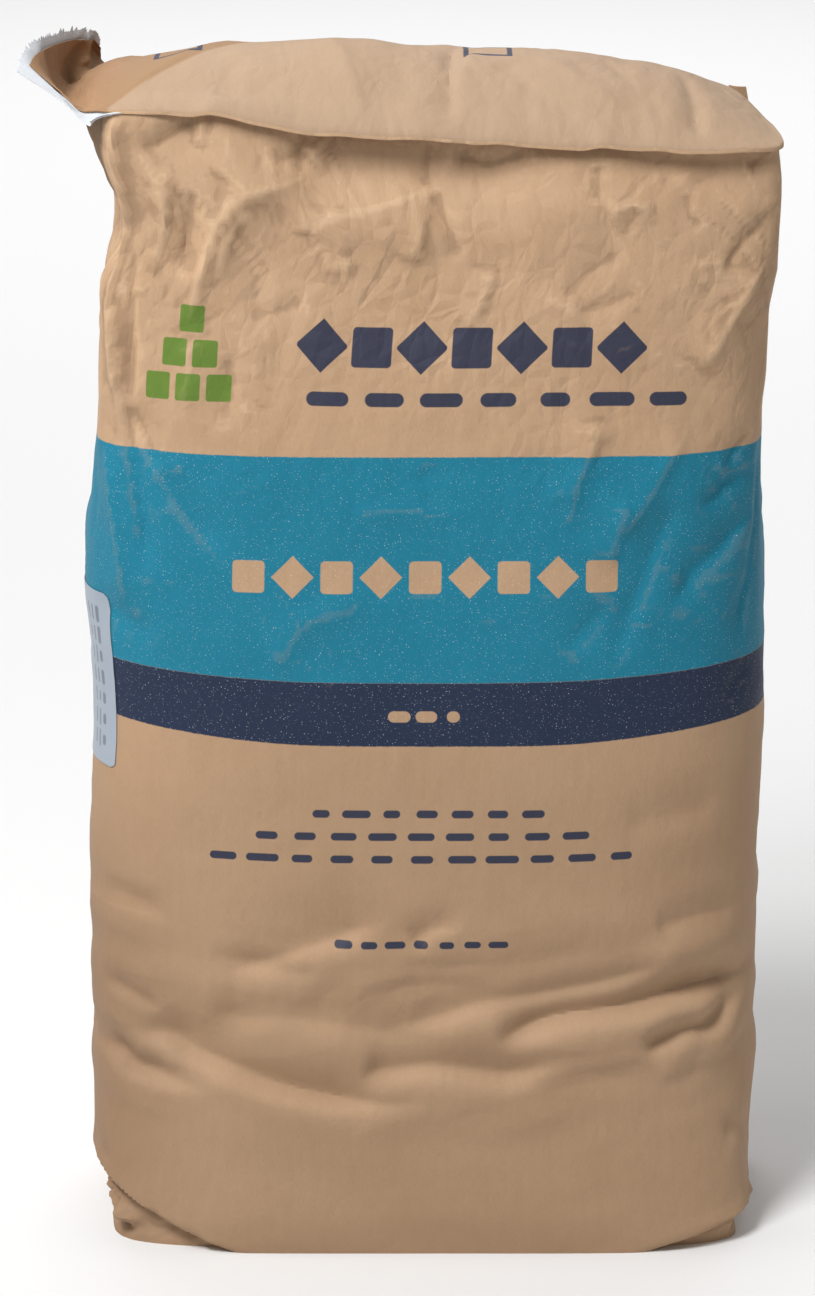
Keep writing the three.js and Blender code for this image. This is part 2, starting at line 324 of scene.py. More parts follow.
def crinkle(s, z, size, seed, directions=5):
    """Faceted relief of about -1 to 1, where size is the typical facet in mm."""
    rng = np.random.default_rng(seed)
    bend_s = soft_noise(s, z, (2.6 * size, 2.6 * size), seed + 1) * size * 1.1
    bend_z = soft_noise(s, z, (2.6 * size, 2.6 * size), seed + 2) * size * 1.1
    total = np.zeros_like(s)
    for k in range(directions):
        angle = math.pi * (k + rng.uniform(0.1, 0.9)) / directions
        wave = size * rng.uniform(1.2, 2.6)
        phase = ((s + bend_s) * math.cos(angle) + (z + bend_z) * math.sin(angle)) / wave + rng.uniform(0, 1)
        ridge = 1 - 4 * np.abs(phase - np.floor(phase) - 0.5)
        present = np.clip(soft_noise(s, z, (2 * size, 2 * size), seed + 10 + k) * 1.6 + 0.2, 0, 1)
        total += ridge * present
    return total / math.sqrt(directions)


sample_s, sample_z = np.meshgrid(S, np.linspace(500, 660, 60))
print("crinkle spread:", round(float(crinkle(sample_s, sample_z, 26, 7).std()), 2))

# %% [markdown]
# ## The wall's relief
#
# Now the folds themselves, as places on the paper in millimetres. Low down the belly is full and smooth
# between a few deep slumps. Above the printed bands the sack isn't quite full, so the paper there is
# slack and crinkled, with soft pleats that hang from the top edge.

# %% Slumps of the lower half
SLUMPS = [
    # path in (s, z), depth, reach above, reach below, ledge
    ([(-196, 141), (-159, 139), (-142, 131), (-118, 123), (-98, 115), (-72, 108), (-40, 103), (12, 104)],
     5.4, 20, 5.5),
    ([(-252, 128), (-234, 124), (-196, 122), (-182, 115), (-162, 113), (-124, 107)], 3.6, 9, 4.5),
    ([(-248, 224), (-225, 222), (-196, 223), (-176, 221), (-150, 214)], 1.9, 8, 5.5, 0.9),
    ([(-212, 165), (-188, 163), (-160, 154)], 1.9, 8, 5, 1.1),
    ([(-126, 184), (-95, 192), (-75, 201), (-49, 210), (-20, 224)], 2.6, 20, 6.5, 0.8),
    ([(-132, 196), (-92, 187), (-60, 185)], 1.4, 6, 7),
    ([(-8, 206), (-3, 209), (6, 215), (24, 220)], 1.6, 9, 3.5, 0.8),
    ([(-135, 158), (-113, 156), (-87, 157), (-61, 155), (-23, 148), (22, 140)], 3.0, 20, 12),
    ([(40, 143), (55, 147), (81, 156), (127, 161), (156, 166), (179, 168), (206, 170), (236, 180)],
     6.2, 13, 5.5),
    ([(-30, 148), (6, 157), (32, 166), (66, 171), (118, 180), (150, 190)], 3.4, 24, 6, 0.7),
    ([(-40, 122), (-26, 122), (3, 126), (29, 123), (55, 121), (90, 135)], 3.8, 14, 6.5, 0.8),
    ([(130, 131), (142, 136), (162, 142), (176, 142), (194, 154), (216, 170)], 3.8, 8, 5.5, 0.8),
    ([(140, 209), (147, 210), (170, 215), (226, 213)], 1.3, 10, 6),
    ([(116, 276), (147, 280), (182, 284)], 1.1, 12, 8),
    ([(182, 72), (200, 70), (228, 60)], 1.6, 7, 5),
    ([(-240, 62), (-218, 54), (-192, 50)], 1.3, 8, 6),
    ([(-262, 176), (-236, 182), (-208, 190)], 1.0, 10, 6),
    ([(224, 132), (246, 128), (270, 134)], 2.6, 10, 6),
    ([(228, 236), (250, 232), (276, 240)], 2.0, 10, 6),
]
print(len(SLUMPS), "slumps")

# %% Creases of the printed bands
BAND_CREASES = [
    # path, height, reach right or above, reach left or below
    ([(99, 520), (98, 508), (93, 492), (88, 478), (83, 452)], 2.4, 4.5, 12),
    ([(120, 472), (113, 452), (108, 432)], 1.8, 4, 10),
    ([(152, 512), (144, 495), (136, 480), (124, 461), (112, 446)], 2.2, 5, 13),
    ([(150, 470), (144, 457), (136, 440), (130, 425), (124, 410), (116, 390), (110, 372)], -2.6, 5, 14),
    ([(212, 482), (200, 479), (184, 477), (176, 470), (160, 464)], -3.0, 4.5, 8),
    ([(222, 462), (205, 455), (191, 447), (176, 436), (156, 420), (142, 404)], -3.4, 13, 5),
    ([(202, 506), (188, 496), (181, 484)], -2.2, 4, 5),
    ([(110, 410), (95, 396), (80, 382)], -1.8, 8, 5),
    ([(-188, 524), (-179, 514), (-165, 494), (-153, 479), (-142, 464), (-130, 451), (-112, 434)],
     -2.8, 11, 3.5),
    ([(-187, 524), (-184, 506), (-180, 492), (-174, 470), (-169, 444), (-168, 418)], -3.4, 7, 5),
    ([(-205, 500), (-198, 480), (-190, 452), (-184, 426), (-182, 398)], 2.8, 5, 8),
    ([(-222, 490), (-214, 462), (-213, 436)], -2.6, 6, 9),
    ([(-166, 487), (-156, 485), (-144, 490)], 1.1, 4, 4),
    ([(-212, 402), (-190, 397), (-160, 385)], -2.0, 6, 9),
    ([(-96, 376), (-82, 386), (-66, 402), (-26, 412)], 1.6, 7, 14),
    ([(-4, 492), (0, 478), (2, 462)], -1.0, 10, 4),
    ([(-44, 463), (-20, 466), (10, 465)], 0.9, 5, 9),
    ([(203, 364), (192, 356), (184, 346)], -1.6, 4, 4),
    ([(112, 398), (124, 396), (136, 397)], 0.8, 2.5, 2.5),
]
print(len(BAND_CREASES), "creases in the bands")

# %% Creases of the slack paper above the bands
SLACK_CREASES = [
    ([(-70, 656), (-98, 646), (-116, 639), (-130, 631), (-140, 622), (-145, 606), (-146, 584), (-148, 560)],
     4.6, 12, 8),
    ([(-112, 634), (-124, 627), (-131, 619), (-134, 610), (-137, 594)], 2.4, 5, 7),
    ([(-92, 622), (-69, 633), (-52, 638), (-26, 644), (8, 652)], 3.2, 9, 20),
    ([(-75, 682), (-76, 674), (-80, 652)], -2.4, 3, 5),
    ([(-60, 680), (-64, 672), (-74, 662)], 2.0, 3.5, 5),
    ([(-176, 658), (-162, 662), (-150, 669), (-138, 677)], -2.8, 4, 9),
    ([(-133, 680), (-136, 670), (-137, 661)], 1.8, 3, 3),
    ([(-158, 652), (-166, 638), (-170, 625), (-173, 610), (-174, 592)], 2.8, 6, 9),
    ([(-147, 642), (-153, 628), (-159, 612), (-156, 592)], -2.4, 7, 6),
    ([(-124, 650), (-132, 637), (-141, 622)], -2.0, 5, 6),
    ([(-3, 654), (-9, 640), (-17, 623), (-21, 612)], 1.8, 3.5, 6),
    ([(2, 652), (3, 634), (8, 612)], -1.6, 4, 6),
    ([(28, 610), (26, 594), (18, 574)], 1.5, 4, 6),
    ([(-76, 607), (-64, 609), (-54, 607)], 1.1, 3, 4),
    ([(-85, 626), (-84, 621), (-80, 615)], -1.6, 3, 4),
    ([(-116, 574), (-95, 580), (-80, 588)], -1.2, 8, 8),
    ([(0, 676), (-3, 664), (-3, 648)], -1.2, 4, 8),
    ([(-98, 660), (-84, 663), (-76, 670)], -1.6, 5, 5),
    ([(206, 683), (194, 672), (182, 667)], -1.4, 3, 5),
    ([(202, 646), (188, 630), (176, 619), (170, 604)], -2.8, 10, 5),
    ([(198, 616), (188, 596), (180, 581), (170, 562), (160, 546)], 3.0, 11, 6),
    ([(98, 641), (113, 646), (128, 645)], 1.2, 3, 5),
    ([(147, 656), (147, 644), (155, 634)], -1.1, 4, 4),
    ([(104, 626), (113, 637), (118, 646)], -1.0, 3, 4),
    ([(148, 612), (160, 614), (172, 612)], 1.0, 3, 3),
    ([(95, 668), (95, 658), (94, 646)], -1.2, 4, 4),
    ([(108, 620), (92, 611), (81, 600), (74, 586)], -1.6, 9, 9),
    ([(122, 598), (101, 588), (80, 582)], -1.6, 8, 8),
    ([(10, 672), (34, 664), (58, 676)], -2.0, 8, 8),
    ([(-196, 582), (-186, 584), (-176, 585)], 0.9, 3, 3),
    ([(-150, 560), (-146, 545), (-150, 520)], 1.4, 6, 6),
    ([(-124, 556), (-120, 534), (-126, 512)], -1.4, 7, 7),
]
print(len(SLACK_CREASES), "creases in the slack paper")

# %% Creases along the upright edges and on the narrow sides
EDGE_CREASES = [
    ([(-186, 688), (-188, 668), (-192, 640), (-199, 610), (-200, 580), (-194, 550), (-190, 528), (-184, 500)],
     5.4, 4, 7),
    ([(-191, 610), (-187, 575), (-184, 548), (-183, 520)], -2.2, 3.5, 3),
    ([(-216, 700), (-217, 672), (-216, 645), (-211, 615), (-208, 580)], -9.0, 8, 14),
    ([(-238, 690), (-240, 665), (-236, 640), (-228, 612)], 3.0, 7, 8),
    ([(-222, 610), (-216, 560), (-212, 520), (-214, 480)], 2.4, 5, 6),
    ([(208, 690), (207, 660), (208, 620), (213, 585), (216, 560), (212, 520), (208, 490)], 3.2, 9, 5),
    ([(214, 500), (216, 478), (216, 455), (207, 436), (204, 416), (197, 396), (195, 368)], -4.6, 4, 6),
    ([(206, 500), (208, 470), (206, 448), (198, 428)], 2.6, 3, 8),
    ([(-262, 690), (-258, 640), (-262, 600), (-256, 550), (-262, 500)], -5.0, 12, 12),
    ([(-284, 640), (-288, 600), (-282, 560), (-290, 520)], 3.0, 7, 9),
    ([(258, 690), (262, 640), (256, 590), (262, 540), (258, 480)], -4.6, 12, 12),
    ([(286, 660), (282, 610), (288, 570), (280, 520)], 3.0, 8, 8),
    ([(238, 600), (246, 570), (238, 540)], 2.0, 6, 6),
]
print(len(EDGE_CREASES), "creases along the edges")

# %% [markdown]
# The back isn't seen in the picture, but paper folds the same way there: slumps low down, a slack upper
# half and tucked corners. Its folds are drawn by chance inside those rules, from a fixed seed.

# %% Folds of the back


def back_folds(seed):
    """Slumps and creases for the back, as (path, sizes...) like the lists above."""
    rng = np.random.default_rng(seed)
    slumps, creases = [], []
    for k in range(9):
        s0 = 520 + rng.uniform(-200, 120)
        z0 = 105 + 22 * k + rng.uniform(-8, 8)
        length, lean = rng.uniform(70, 150), rng.uniform(-22, 22)
        path = [(s0, z0), (s0 + length / 2, z0 - rng.uniform(2, 9)), (s0 + length, z0 + lean)]
        slumps.append((path, rng.uniform(1.8, 5.2), rng.uniform(10, 20), rng.uniform(5, 7)))
    for _ in range(34):
        s0, z0 = 520 + rng.uniform(-215, 215), rng.uniform(400, 665)
        length, turn = rng.uniform(24, 95), rng.normal(0, 0.55)
        ds, dz = length * math.sin(turn), length * math.cos(turn)
        path = [(s0, z0), (s0 + ds / 2 + rng.uniform(-5, 5), z0 + dz / 2), (s0 + ds, min(z0 + dz, 684))]
        height = rng.choice([-1, 1]) * rng.uniform(1.0, 3.4) * (0.6 + 0.4 * (z0 > 500))
        creases.append((path, height, rng.uniform(4, 12), rng.uniform(4, 12)))
    return slumps, creases


BACK_SLUMPS, BACK_CREASES = back_folds(12)
print("back:", len(BACK_SLUMPS), "slumps and", len(BACK_CREASES), "creases")

# %% The pasted bottom's corners
FOOT_CREASES = [
    ([(-236, 40), (-208, 30), (-186, 18)], -5.2, 2.5, 6),
    ([(-232, 26), (-200, 20), (-168, 12)], 4.6, 3, 5),
    ([(-236, 14), (-204, 11), (-172, 5)], -4.8, 3, 5),
    ([(-206, 38), (-192, 24), (-184, 8)], 4.0, 3, 4),
    ([(-222, 34), (-214, 22), (-212, 6)], -3.6, 3, 3),
    ([(-170, 26), (-150, 14), (-128, 6)], -2.4, 3, 6),
    ([(232, 20), (208, 14), (186, 7)], -4.0, 3, 5),
    ([(226, 25), (202, 17), (174, 9)], 3.4, 3, 5),
]
FOOT_FOLDS = [(-98, -225, 44), (110, 216, 21)]  # where each corner fold starts and ends, and its height
TUCK = 8.5  # how far a folded corner goes in under the belly


def mirrored_front(s):
    """The way round from the middle of the nearer face: the back is folded like the front."""
    return np.where(np.abs(s) < GIRTH / 4, s, np.sign(s) * (GIRTH / 2 - np.abs(s)))


def foot_tuck(s, z):
    """How far the pasted bottom's folded corners are tucked in under the belly."""
    off = mirrored_front(s)
    total = np.zeros_like(z)
    for start, end, height in FOOT_FOLDS:
        fold = height * smooth(start, end, off)
        there = smooth(0, 6, fold)
        total += TUCK * smooth(fold + 1.0, fold - 3.0, z) * there
        total -= 0.4 * np.exp(-(((z - fold - 5) / 4.5) ** 2)) * there
    return total


corner_tuck = foot_tuck(np.array([-220.0]), np.array([10.0]))
print("the left front corner is tucked in by", float(corner_tuck[0]), "mm")

# %% The whole relief
SLUMP_SHARE, SLACK_SHARE, CREASE_SHARE = 1.7, 1.45, 1.35  # how strongly the listed folds are pressed
DRAWN_IN = 5.5  # how far the foot draws in at its right-hand end


def relief(s, z):
    """How far the paper stands out of the plain form, in millimetres."""
    out = SLUMP_SHARE * pressed(slump, SLUMPS + BACK_SLUMPS, s, z)
    out += SLACK_SHARE * pressed(crease, SLACK_CREASES, s, z)
    others = BAND_CREASES + EDGE_CREASES + BACK_CREASES + FOOT_CREASES
    out += CREASE_SHARE * pressed(crease, others, s, z)
    face = np.abs(mirrored_front(s))
    slack = smooth(450, 590, z)
    banded = within(z, 330, 400, 480, 540)
    low = within(z, 70, 115, 190, 262)
    side = smooth(175, 235, face)
    left = smooth(-40, -130, s) * (s > -300)
    calm_middle = 0.55 * within(s, -120, -40, 70, 170) * smooth(690, 640, z)
    loose = slack * (1 - calm_middle)
    out += crinkle(s, z * 0.5, 20, 11) * loose * (0.5 + 0.9 * left)
    out += crinkle(s, z, 30, 17) * (0.2 + 0.9 * loose + 0.7 * banded * side + 0.9 * side)
    out += crinkle(s, z, 11, 23) * (0.05 + 0.35 * loose + 0.2 * banded + 0.3 * side)
    out += crinkle(s, z * 2.0, 42, 37) * (1.0 * low + 0.2)
    out += soft_noise(s, z, (80, 60), 5) * (0.8 + 1.6 * slack)
    tuck = foot_tuck(s, z)
    tucked = np.clip(tuck / TUCK, 0, 1)
    out += (crinkle(s, z, 12, 51) * 2.4 + crinkle(s, z, 6, 53) * 1.0) * tucked
    right_edge = within(s, 184, 206, 228, 252)
    left_edge = within(s, -256, -232, -210, -192) * smooth(590, 540, z)
    out *= 1 - 0.6 * np.maximum(right_edge, left_edge) * smooth(46, 60, z)
    drawn_in = DRAWN_IN * smooth(110, 35, z) * within(s, 190, 222, 262, 300)
    return out * smooth(-2, 12, z) - tuck - drawn_in


probe_s, probe_z = np.meshgrid(S, np.linspace(0, TOP_EDGE, 50))
print("relief from", [round(float(f(relief(probe_s, probe_z))), 1) for f in (np.min, np.max)], "mm")

# %% [markdown]
# ## Wall, lip and lid
#
# The rows of the wall are close together at the foot and under the top edge, where the forms are small.
# At the top the panel's pasted edge overhangs the front as a thin lip, which throws the dark line under
# the top. The lid runs from that lip to a line between the sack's two ends.

# %% Rows of the wall and rings of the lid
ROW_BANDS = [  # from, to and the step between rows
    (0, 60, 1.6), (60, 92, 3.2), (92, 215, 2.0),
    (215, 440, 4.8), (440, 640, 3.3), (640, TOP_EDGE, 2.1),
]
LID_SHARES = np.concatenate([[0, 0.012, 0.03], np.linspace(0.06, 1, 26)])  # each ring's way in
LIP_DROP = 2.4  # the lip's thickness


def row_heights():
    """The heights of the wall's rows."""
    rows = [0.0]
    for low, high, step in ROW_BANDS:
        rows += list(np.linspace(low, high, round((high - low) / step) + 1)[1:])
    return np.array(rows)


rows = row_heights()
print(len(rows), "rows and", len(LID_SHARES), "rings")

# %% The panel's overhanging edge


def lip_tuck(s, x):
    """How far the front is tucked in under the panel's edge, and the deeper hollow in the middle."""
    left = 5.5 * within(x, -165, -130, -85, -60)
    middle = 15 * within(x, -88, -52, 24, 78)
    right = 7.5 * within(x, 40, 75, 185, 206)
    wander = 0.6 * soft_noise(s, s * 0, (40, 60), 71)
    front = np.abs(s) < GIRTH / 4
    return 1.6 + wander + np.where(front, left + right, 0), np.where(front, middle, 0)


# How far the panel's front edge stands over its plain form: it isn't quite straight.
LIP_LINE = [
    (-206, -2), (-194, 0), (-182, 2.5), (-170, 4), (-141, 5.2), (-128, 7.2), (-107, 6), (-76, 4.7), (-52, 6),
    (-4, 5.4), (8, 4.2), (40, 2.5), (83, 0), (96, 1.8), (110, 0.6), (149, 0.8), (172, 0.6), (195, 0),
    (206, 1),
]


def lip_wave(s):
    """How far the panel's edge is lifted at each column."""
    line = station_curve([place for place, _ in LIP_LINE], [rise for _, rise in LIP_LINE], s)
    ripple = 0.5 * soft_noise(s, s * 0, (34, 60), 83) + 0.5 * soft_noise(s, s * 0, (13, 60), 89)
    return line * smooth(GIRTH / 4, 200, np.abs(s)) + ripple


print("the edge is lifted by up to", round(float(lip_wave(S).max()), 1), "mm")

# %% Folds of the top panel
PANEL_FOLDS = [
    # path in (x, y), height, reach to both sides
    ([(14, -66), (12, -20), (18, 30)], -3.2, 4),
    ([(20, -62), (20, -30), (26, 10)], 1.6, 5),
    ([(152, -66), (150, -30), (146, 10)], -3.0, 4),
    ([(158, -60), (160, -34), (168, -10)], 1.4, 5),
    ([(-34, -66), (-44, -30), (-60, 20)], 2.0, 9),
    ([(40, -10), (56, -30), (90, -64)], -1.6, 5),
    ([(66, 0), (80, -20), (118, -60)], 1.6, 6),
    ([(100, 10), (112, -16), (136, -56)], -1.4, 5),
    ([(-176, -62), (-140, -10), (-96, 44)], 2.6, 9),
    ([(30, 12), (20, -2), (14, -20)], -2.2, 4),
    ([(-108, -64), (-112, -40), (-104, -12)], -1.6, 6),
    ([(-8, -64), (-4, -40), (-10, -8)], 1.2, 6),
    ([(120, -64), (124, -40), (116, -18)], 1.4, 5),
    ([(60, -64), (54, -44), (62, -20)], -1.2, 5),
    ([(-200, -24), (-194, 6), (-180, 30), (-160, 46)], 2.2, 3),
]


def panel_relief(x, y):
    """Crinkles and folds of the top panel."""
    slack = 0.35 + 0.65 * smooth(-70, 10, x)
    out = 1.1 * crinkle(x + 300, y * 0.6 + 100, 22, 61) * slack
    out += 0.4 * crinkle(x + 300, y + 100, 9, 67) * slack
    for path, height, reach in PANEL_FOLDS:
        out = out + crease(x, y, path, height, reach, reach)
    return out


print(len(PANEL_FOLDS), "folds")

# %% Build the wall
edge_x, edge_y = outline(TOP_EDGE)
edge_rise = panel_height(edge_x, edge_y) - TOP_EDGE
row_s, row_z = np.meshgrid(S, rows)
wall_relief = relief(row_s, row_z)
wall = np.zeros((len(rows), COLUMNS, 3))
for k, z in enumerate(rows):
    x, y = outline(z)
    nx, ny = outward(x, y)
    out = wall_relief[k] * smooth(TOP_EDGE + 1, TOP_EDGE - 9, z)
    tuck, hollow = lip_tuck(S, x)
    out = out - tuck * smooth(TOP_EDGE - 42, TOP_EDGE, z)
    out = out - hollow * smooth(TOP_EDGE - 58, TOP_EDGE - 14, z)
    lift = edge_rise * smooth(470, TOP_EDGE, z) + lip_wave(S) * smooth(610, TOP_EDGE, z)
    wall[k] = np.stack([x + nx * out, y + ny * out, z + lift], 1)
wall[-1, :, 2] -= 0.8  # the top row stays under the lip
print("wall:", wall.shape[0], "rows of", wall.shape[1])

# %% Build the lip, the lid and the base


def middle_point(x, y):
    """The point of the lid or base line that each column runs to."""
    twin = (-np.arange(COLUMNS) - HALF) % COLUMNS
    return (x + x[twin]) * 0.46, np.full_like(x, 2.0)


lip_z = panel_height(edge_x, edge_y) + lip_wave(S)
lip = np.stack([edge_x, edge_y, lip_z - LIP_DROP], 1)
mid_x, mid_y = middle_point(edge_x, edge_y)
lid = np.zeros((len(LID_SHARES), COLUMNS, 3))
for k, share in enumerate(LID_SHARES):
    x = edge_x + (mid_x - edge_x) * share
    y = edge_y + (mid_y - edge_y) * share
    z = panel_height(x, y) + lip_wave(S) * smooth(0.3, 0, share)
    lid[k] = np.stack([x, y, z + panel_relief(x, y) * smooth(0.0, 0.25, share)], 1)
lid[0, :, 2] -= 0.6  # the lip's upper edge is a little worn

foot_x, foot_y = wall[0, :, 0], wall[0, :, 1]
foot_mid_x, foot_mid_y = middle_point(foot_x, foot_y)
base = np.zeros((4, COLUMNS, 3))
for k, share in enumerate((1, 0.66, 0.3, 0.06)):
    base[k, :, 0] = foot_x + (foot_mid_x - foot_x) * share
    base[k, :, 1] = foot_y + (foot_mid_y - foot_y) * share
print("lid:", len(lid), "rings, base:", len(base), "rings")

# %% [markdown]
# ## The sack's mesh
#
# The rings are skinned with quads. The first and the last ring are folded flat, each column onto its
# twin, which closes the mesh without a pole. The UV map holds the paper's own two numbers in metres, so
# a printed band follows every fold. A `bend` attribute says how sharply the paper turns outwards, for
# the worn edges of the print and of the paper, or inwards, for the painted shade in sharp valleys.

# %% Skin the rings


def skin_faces(ring_count):
    """Quads between neighbouring rings, with the first and the last ring folded onto their twins."""
    index = np.arange(ring_count * COLUMNS).reshape(ring_count, COLUMNS)
    twin = (-np.arange(COLUMNS) - HALF) % COLUMNS
    for ring in (0, -1):
        index[ring] = np.minimum(index[ring], index[ring, twin])
    low, high = index[:-1], index[1:]
    return np.stack([low, np.roll(low, -1, 1), np.roll(high, -1, 1), high], 2).reshape(-1, 4)


def mesh_object(name, points, faces):
    """A smooth mesh object at the origin, from points in mm. Also says which of the points it uses."""
    used, packed = np.unique(faces, return_inverse=True)
    mesh = bpy.data.meshes.new(name)
    mesh.from_pydata((points[used] * MM).tolist(), [], packed.reshape(faces.shape).tolist())
    mesh.shade_smooth()
    mesh.set_sharp_from_angle(angle=math.radians(38))
    return placed(name, mesh), used


def set_uv(made, uv):
    """Store one (u, v) in mm for each face corner as the UV map called paper, in metres."""
    layer = made.data.uv_layers.new(name="paper")
    layer.data.foreach_set("uv", (uv * MM).astype(np.float32).ravel())


def set_attribute(made, name, values):
    """Store one number for each point."""
    layer = made.data.attributes.new(name, "FLOAT", "POINT")
    layer.data.foreach_set("value", values.astype(np.float32))


def triangle_count(made):
    """How many triangles the object's mesh has."""
    made.data.calc_loop_triangles()
    return len(made.data.loop_triangles)


rings = np.concatenate([base, wall, lip[None], lid])
sack, used_points = mesh_object("paper_sack", rings.reshape(-1, 3), skin_faces(len(rings)))
print("sack:", len(sack.data.vertices), "points,", triangle_count(sack), "triangles")

# %% Give the sack its paper coordinates
LID_UP = 1000  # the lid's part of the UV map lies one metre up


def corner_values(grid):
    """The values of a grid of points at the four corners of each of its faces."""
    low, high = grid[:-1], grid[1:]
    return np.stack([low[:, :-1], low[:, 1:], high[:, 1:], high[:, :-1]], 2).reshape(-1, 4)


first_lid = len(base) + len(wall) + 1
ring_v = np.concatenate([np.full(len(base), -5.0), rows, [TOP_EDGE + 2], np.full(len(lid), TOP_EDGE + 4)])
grid_u, grid_v = np.meshgrid(np.append(S, GIRTH / 2), ring_v)
closed = np.concatenate([rings, rings[:, :1]], 1)
face_u, face_v = corner_values(grid_u), corner_values(grid_v)
on_lid = np.repeat(np.arange(len(rings) - 1) >= first_lid, COLUMNS)[:, None]
face_u = np.where(on_lid, corner_values(closed[:, :, 0]), face_u)
face_v = np.where(on_lid, corner_values(closed[:, :, 1]) + LID_UP, face_v)
set_uv(sack, np.stack([face_u, face_v], 2))
print("paper coordinates on", len(face_u), "faces")

# %% Measure where the paper is bent outwards
bend = np.zeros(rings.shape[:2])
inside = slice(len(base) + 1, len(base) + len(rows) - 1)
across_bend = 2 * wall_relief - np.roll(wall_relief, 1, 1) - np.roll(wall_relief, -1, 1)
upright_bend = 2 * wall_relief[1:-1] - wall_relief[2:] - wall_relief[:-2]
bend[inside] = across_bend[1:-1] + upright_bend
set_attribute(sack, "bend", np.clip(bend.ravel()[used_points] * 1.6, -1, 1))
print("bend from", round(float(bend.min()), 2), "to", round(float(bend.max()), 2))

# %% [markdown]
# ## Thin sheets
#
# The valve's plies and the label are sheets with a real thickness. Each is made from one grid of points:
# the grid is moved out along its own normals for the two faces, and a strip of quads closes the rim.

# %% A closed sheet from a grid of points


def grid_normals(grid):
    """The unit normal at each point of a grid."""
    across = np.gradient(grid, axis=1)
    along = np.gradient(grid, axis=0)
    normal = np.cross(across, along)
    return normal / np.linalg.norm(normal, axis=2, keepdims=True)


def sheet_object(name, grid, lift, thickness):
    """A closed sheet whose two faces lie `lift` and `lift + thickness` off the grid."""
    count_j, count_i = grid.shape[:2]
    normal = grid_normals(grid)
    index = np.arange(count_j * count_i).reshape(count_j, count_i)
    a, b, c, d = index[:-1, :-1], index[:-1, 1:], index[1:, 1:], index[1:, :-1]
    outer = np.stack([a, b, c, d], 2).reshape(-1, 4) + index.size
    inner = np.stack([a, d, c, b], 2).reshape(-1, 4)
    rim = np.concatenate([index[0, :-1], index[:-1, -1], index[-1, :0:-1], index[:0:-1, 0]])
    after = np.roll(rim, -1)
    edge = np.stack([rim, after, after + index.size, rim + index.size], 1)
    near_face, far_face = grid + normal * lift, grid + normal * (lift + thickness)
    points = np.concatenate([near_face.reshape(-1, 3), far_face.reshape(-1, 3)])
    faces = np.concatenate([outer, inner, edge])
    made, _ = mesh_object(name, points, faces)
    along = np.concatenate([[0], np.cumsum(np.linalg.norm(np.diff(grid.mean(1), axis=0), axis=1))])
    across = np.concatenate([[0], np.cumsum(np.linalg.norm(np.diff(grid.mean(0), axis=0), axis=1))])
    flat = np.stack(np.meshgrid(across - across[-1] / 2, along - along[-1] / 2), 2).reshape(-1, 2)
    set_uv(made, np.concatenate([flat, flat])[faces])
    return made


def through(points, places):
    """Points on a smooth curve through the given ones. Places run from 0 to 1, evenly by point."""
    points = np.asarray(points, float)
    knots = np.arange(len(points))
    steps = np.asarray(places) * (len(points) - 1)
    return np.stack([station_curve(knots, points[:, k], steps) for k in range(points.shape[1])], 1)


print("a curve's middle:", through([(0, 0, 0), (1, 0, 1), (2, 0, 0)], [0.5])[0])

# %% [markdown]
# ## The turned-up corner
#
# At the back right-hand corner a small ear of the folded panel stands up behind the dome. It is one
# small sheet between four corner points, with a slight curl.

# %% The ear of paper at the back corner
TAB_CORNERS = [(174, 44, 666), (191, 42, 664), (176.5, 40, 688), (186, 40, 687)]  # two low, two high


def curled_patch(corners, count, curl):
    """A grid of points between four corners, bowed out along its own normal."""
    low_left, low_right, high_left, high_right = (np.array(corner, float) for corner in corners)
    up, across = np.meshgrid(np.linspace(0, 1, count), np.linspace(0, 1, count), indexing="ij")
    up, across = up[..., None], across[..., None]
    flat = (low_left * (1 - across) + low_right * across) * (1 - up)
    flat += (high_left * (1 - across) + high_right * across) * up
    return flat + grid_normals(flat) * curl * 4 * across * (1 - across)


corner_tab = sheet_object("corner_tab", curled_patch(TAB_CORNERS, 9, 1.2), 0, 0.8)
print("corner tab:", triangle_count(corner_tab), "triangles")

# %% [markdown]
# ## The filling valve
#
# Sugar is blown in through a short paper tube in one top corner. Here the tube stands open as a little
# spout: the brown outer ply curls up from the panel with a valley along its front edge and a folded flap
# at the back, and the white inner ply sticks out past it. Both are lofted through the same nine strips.

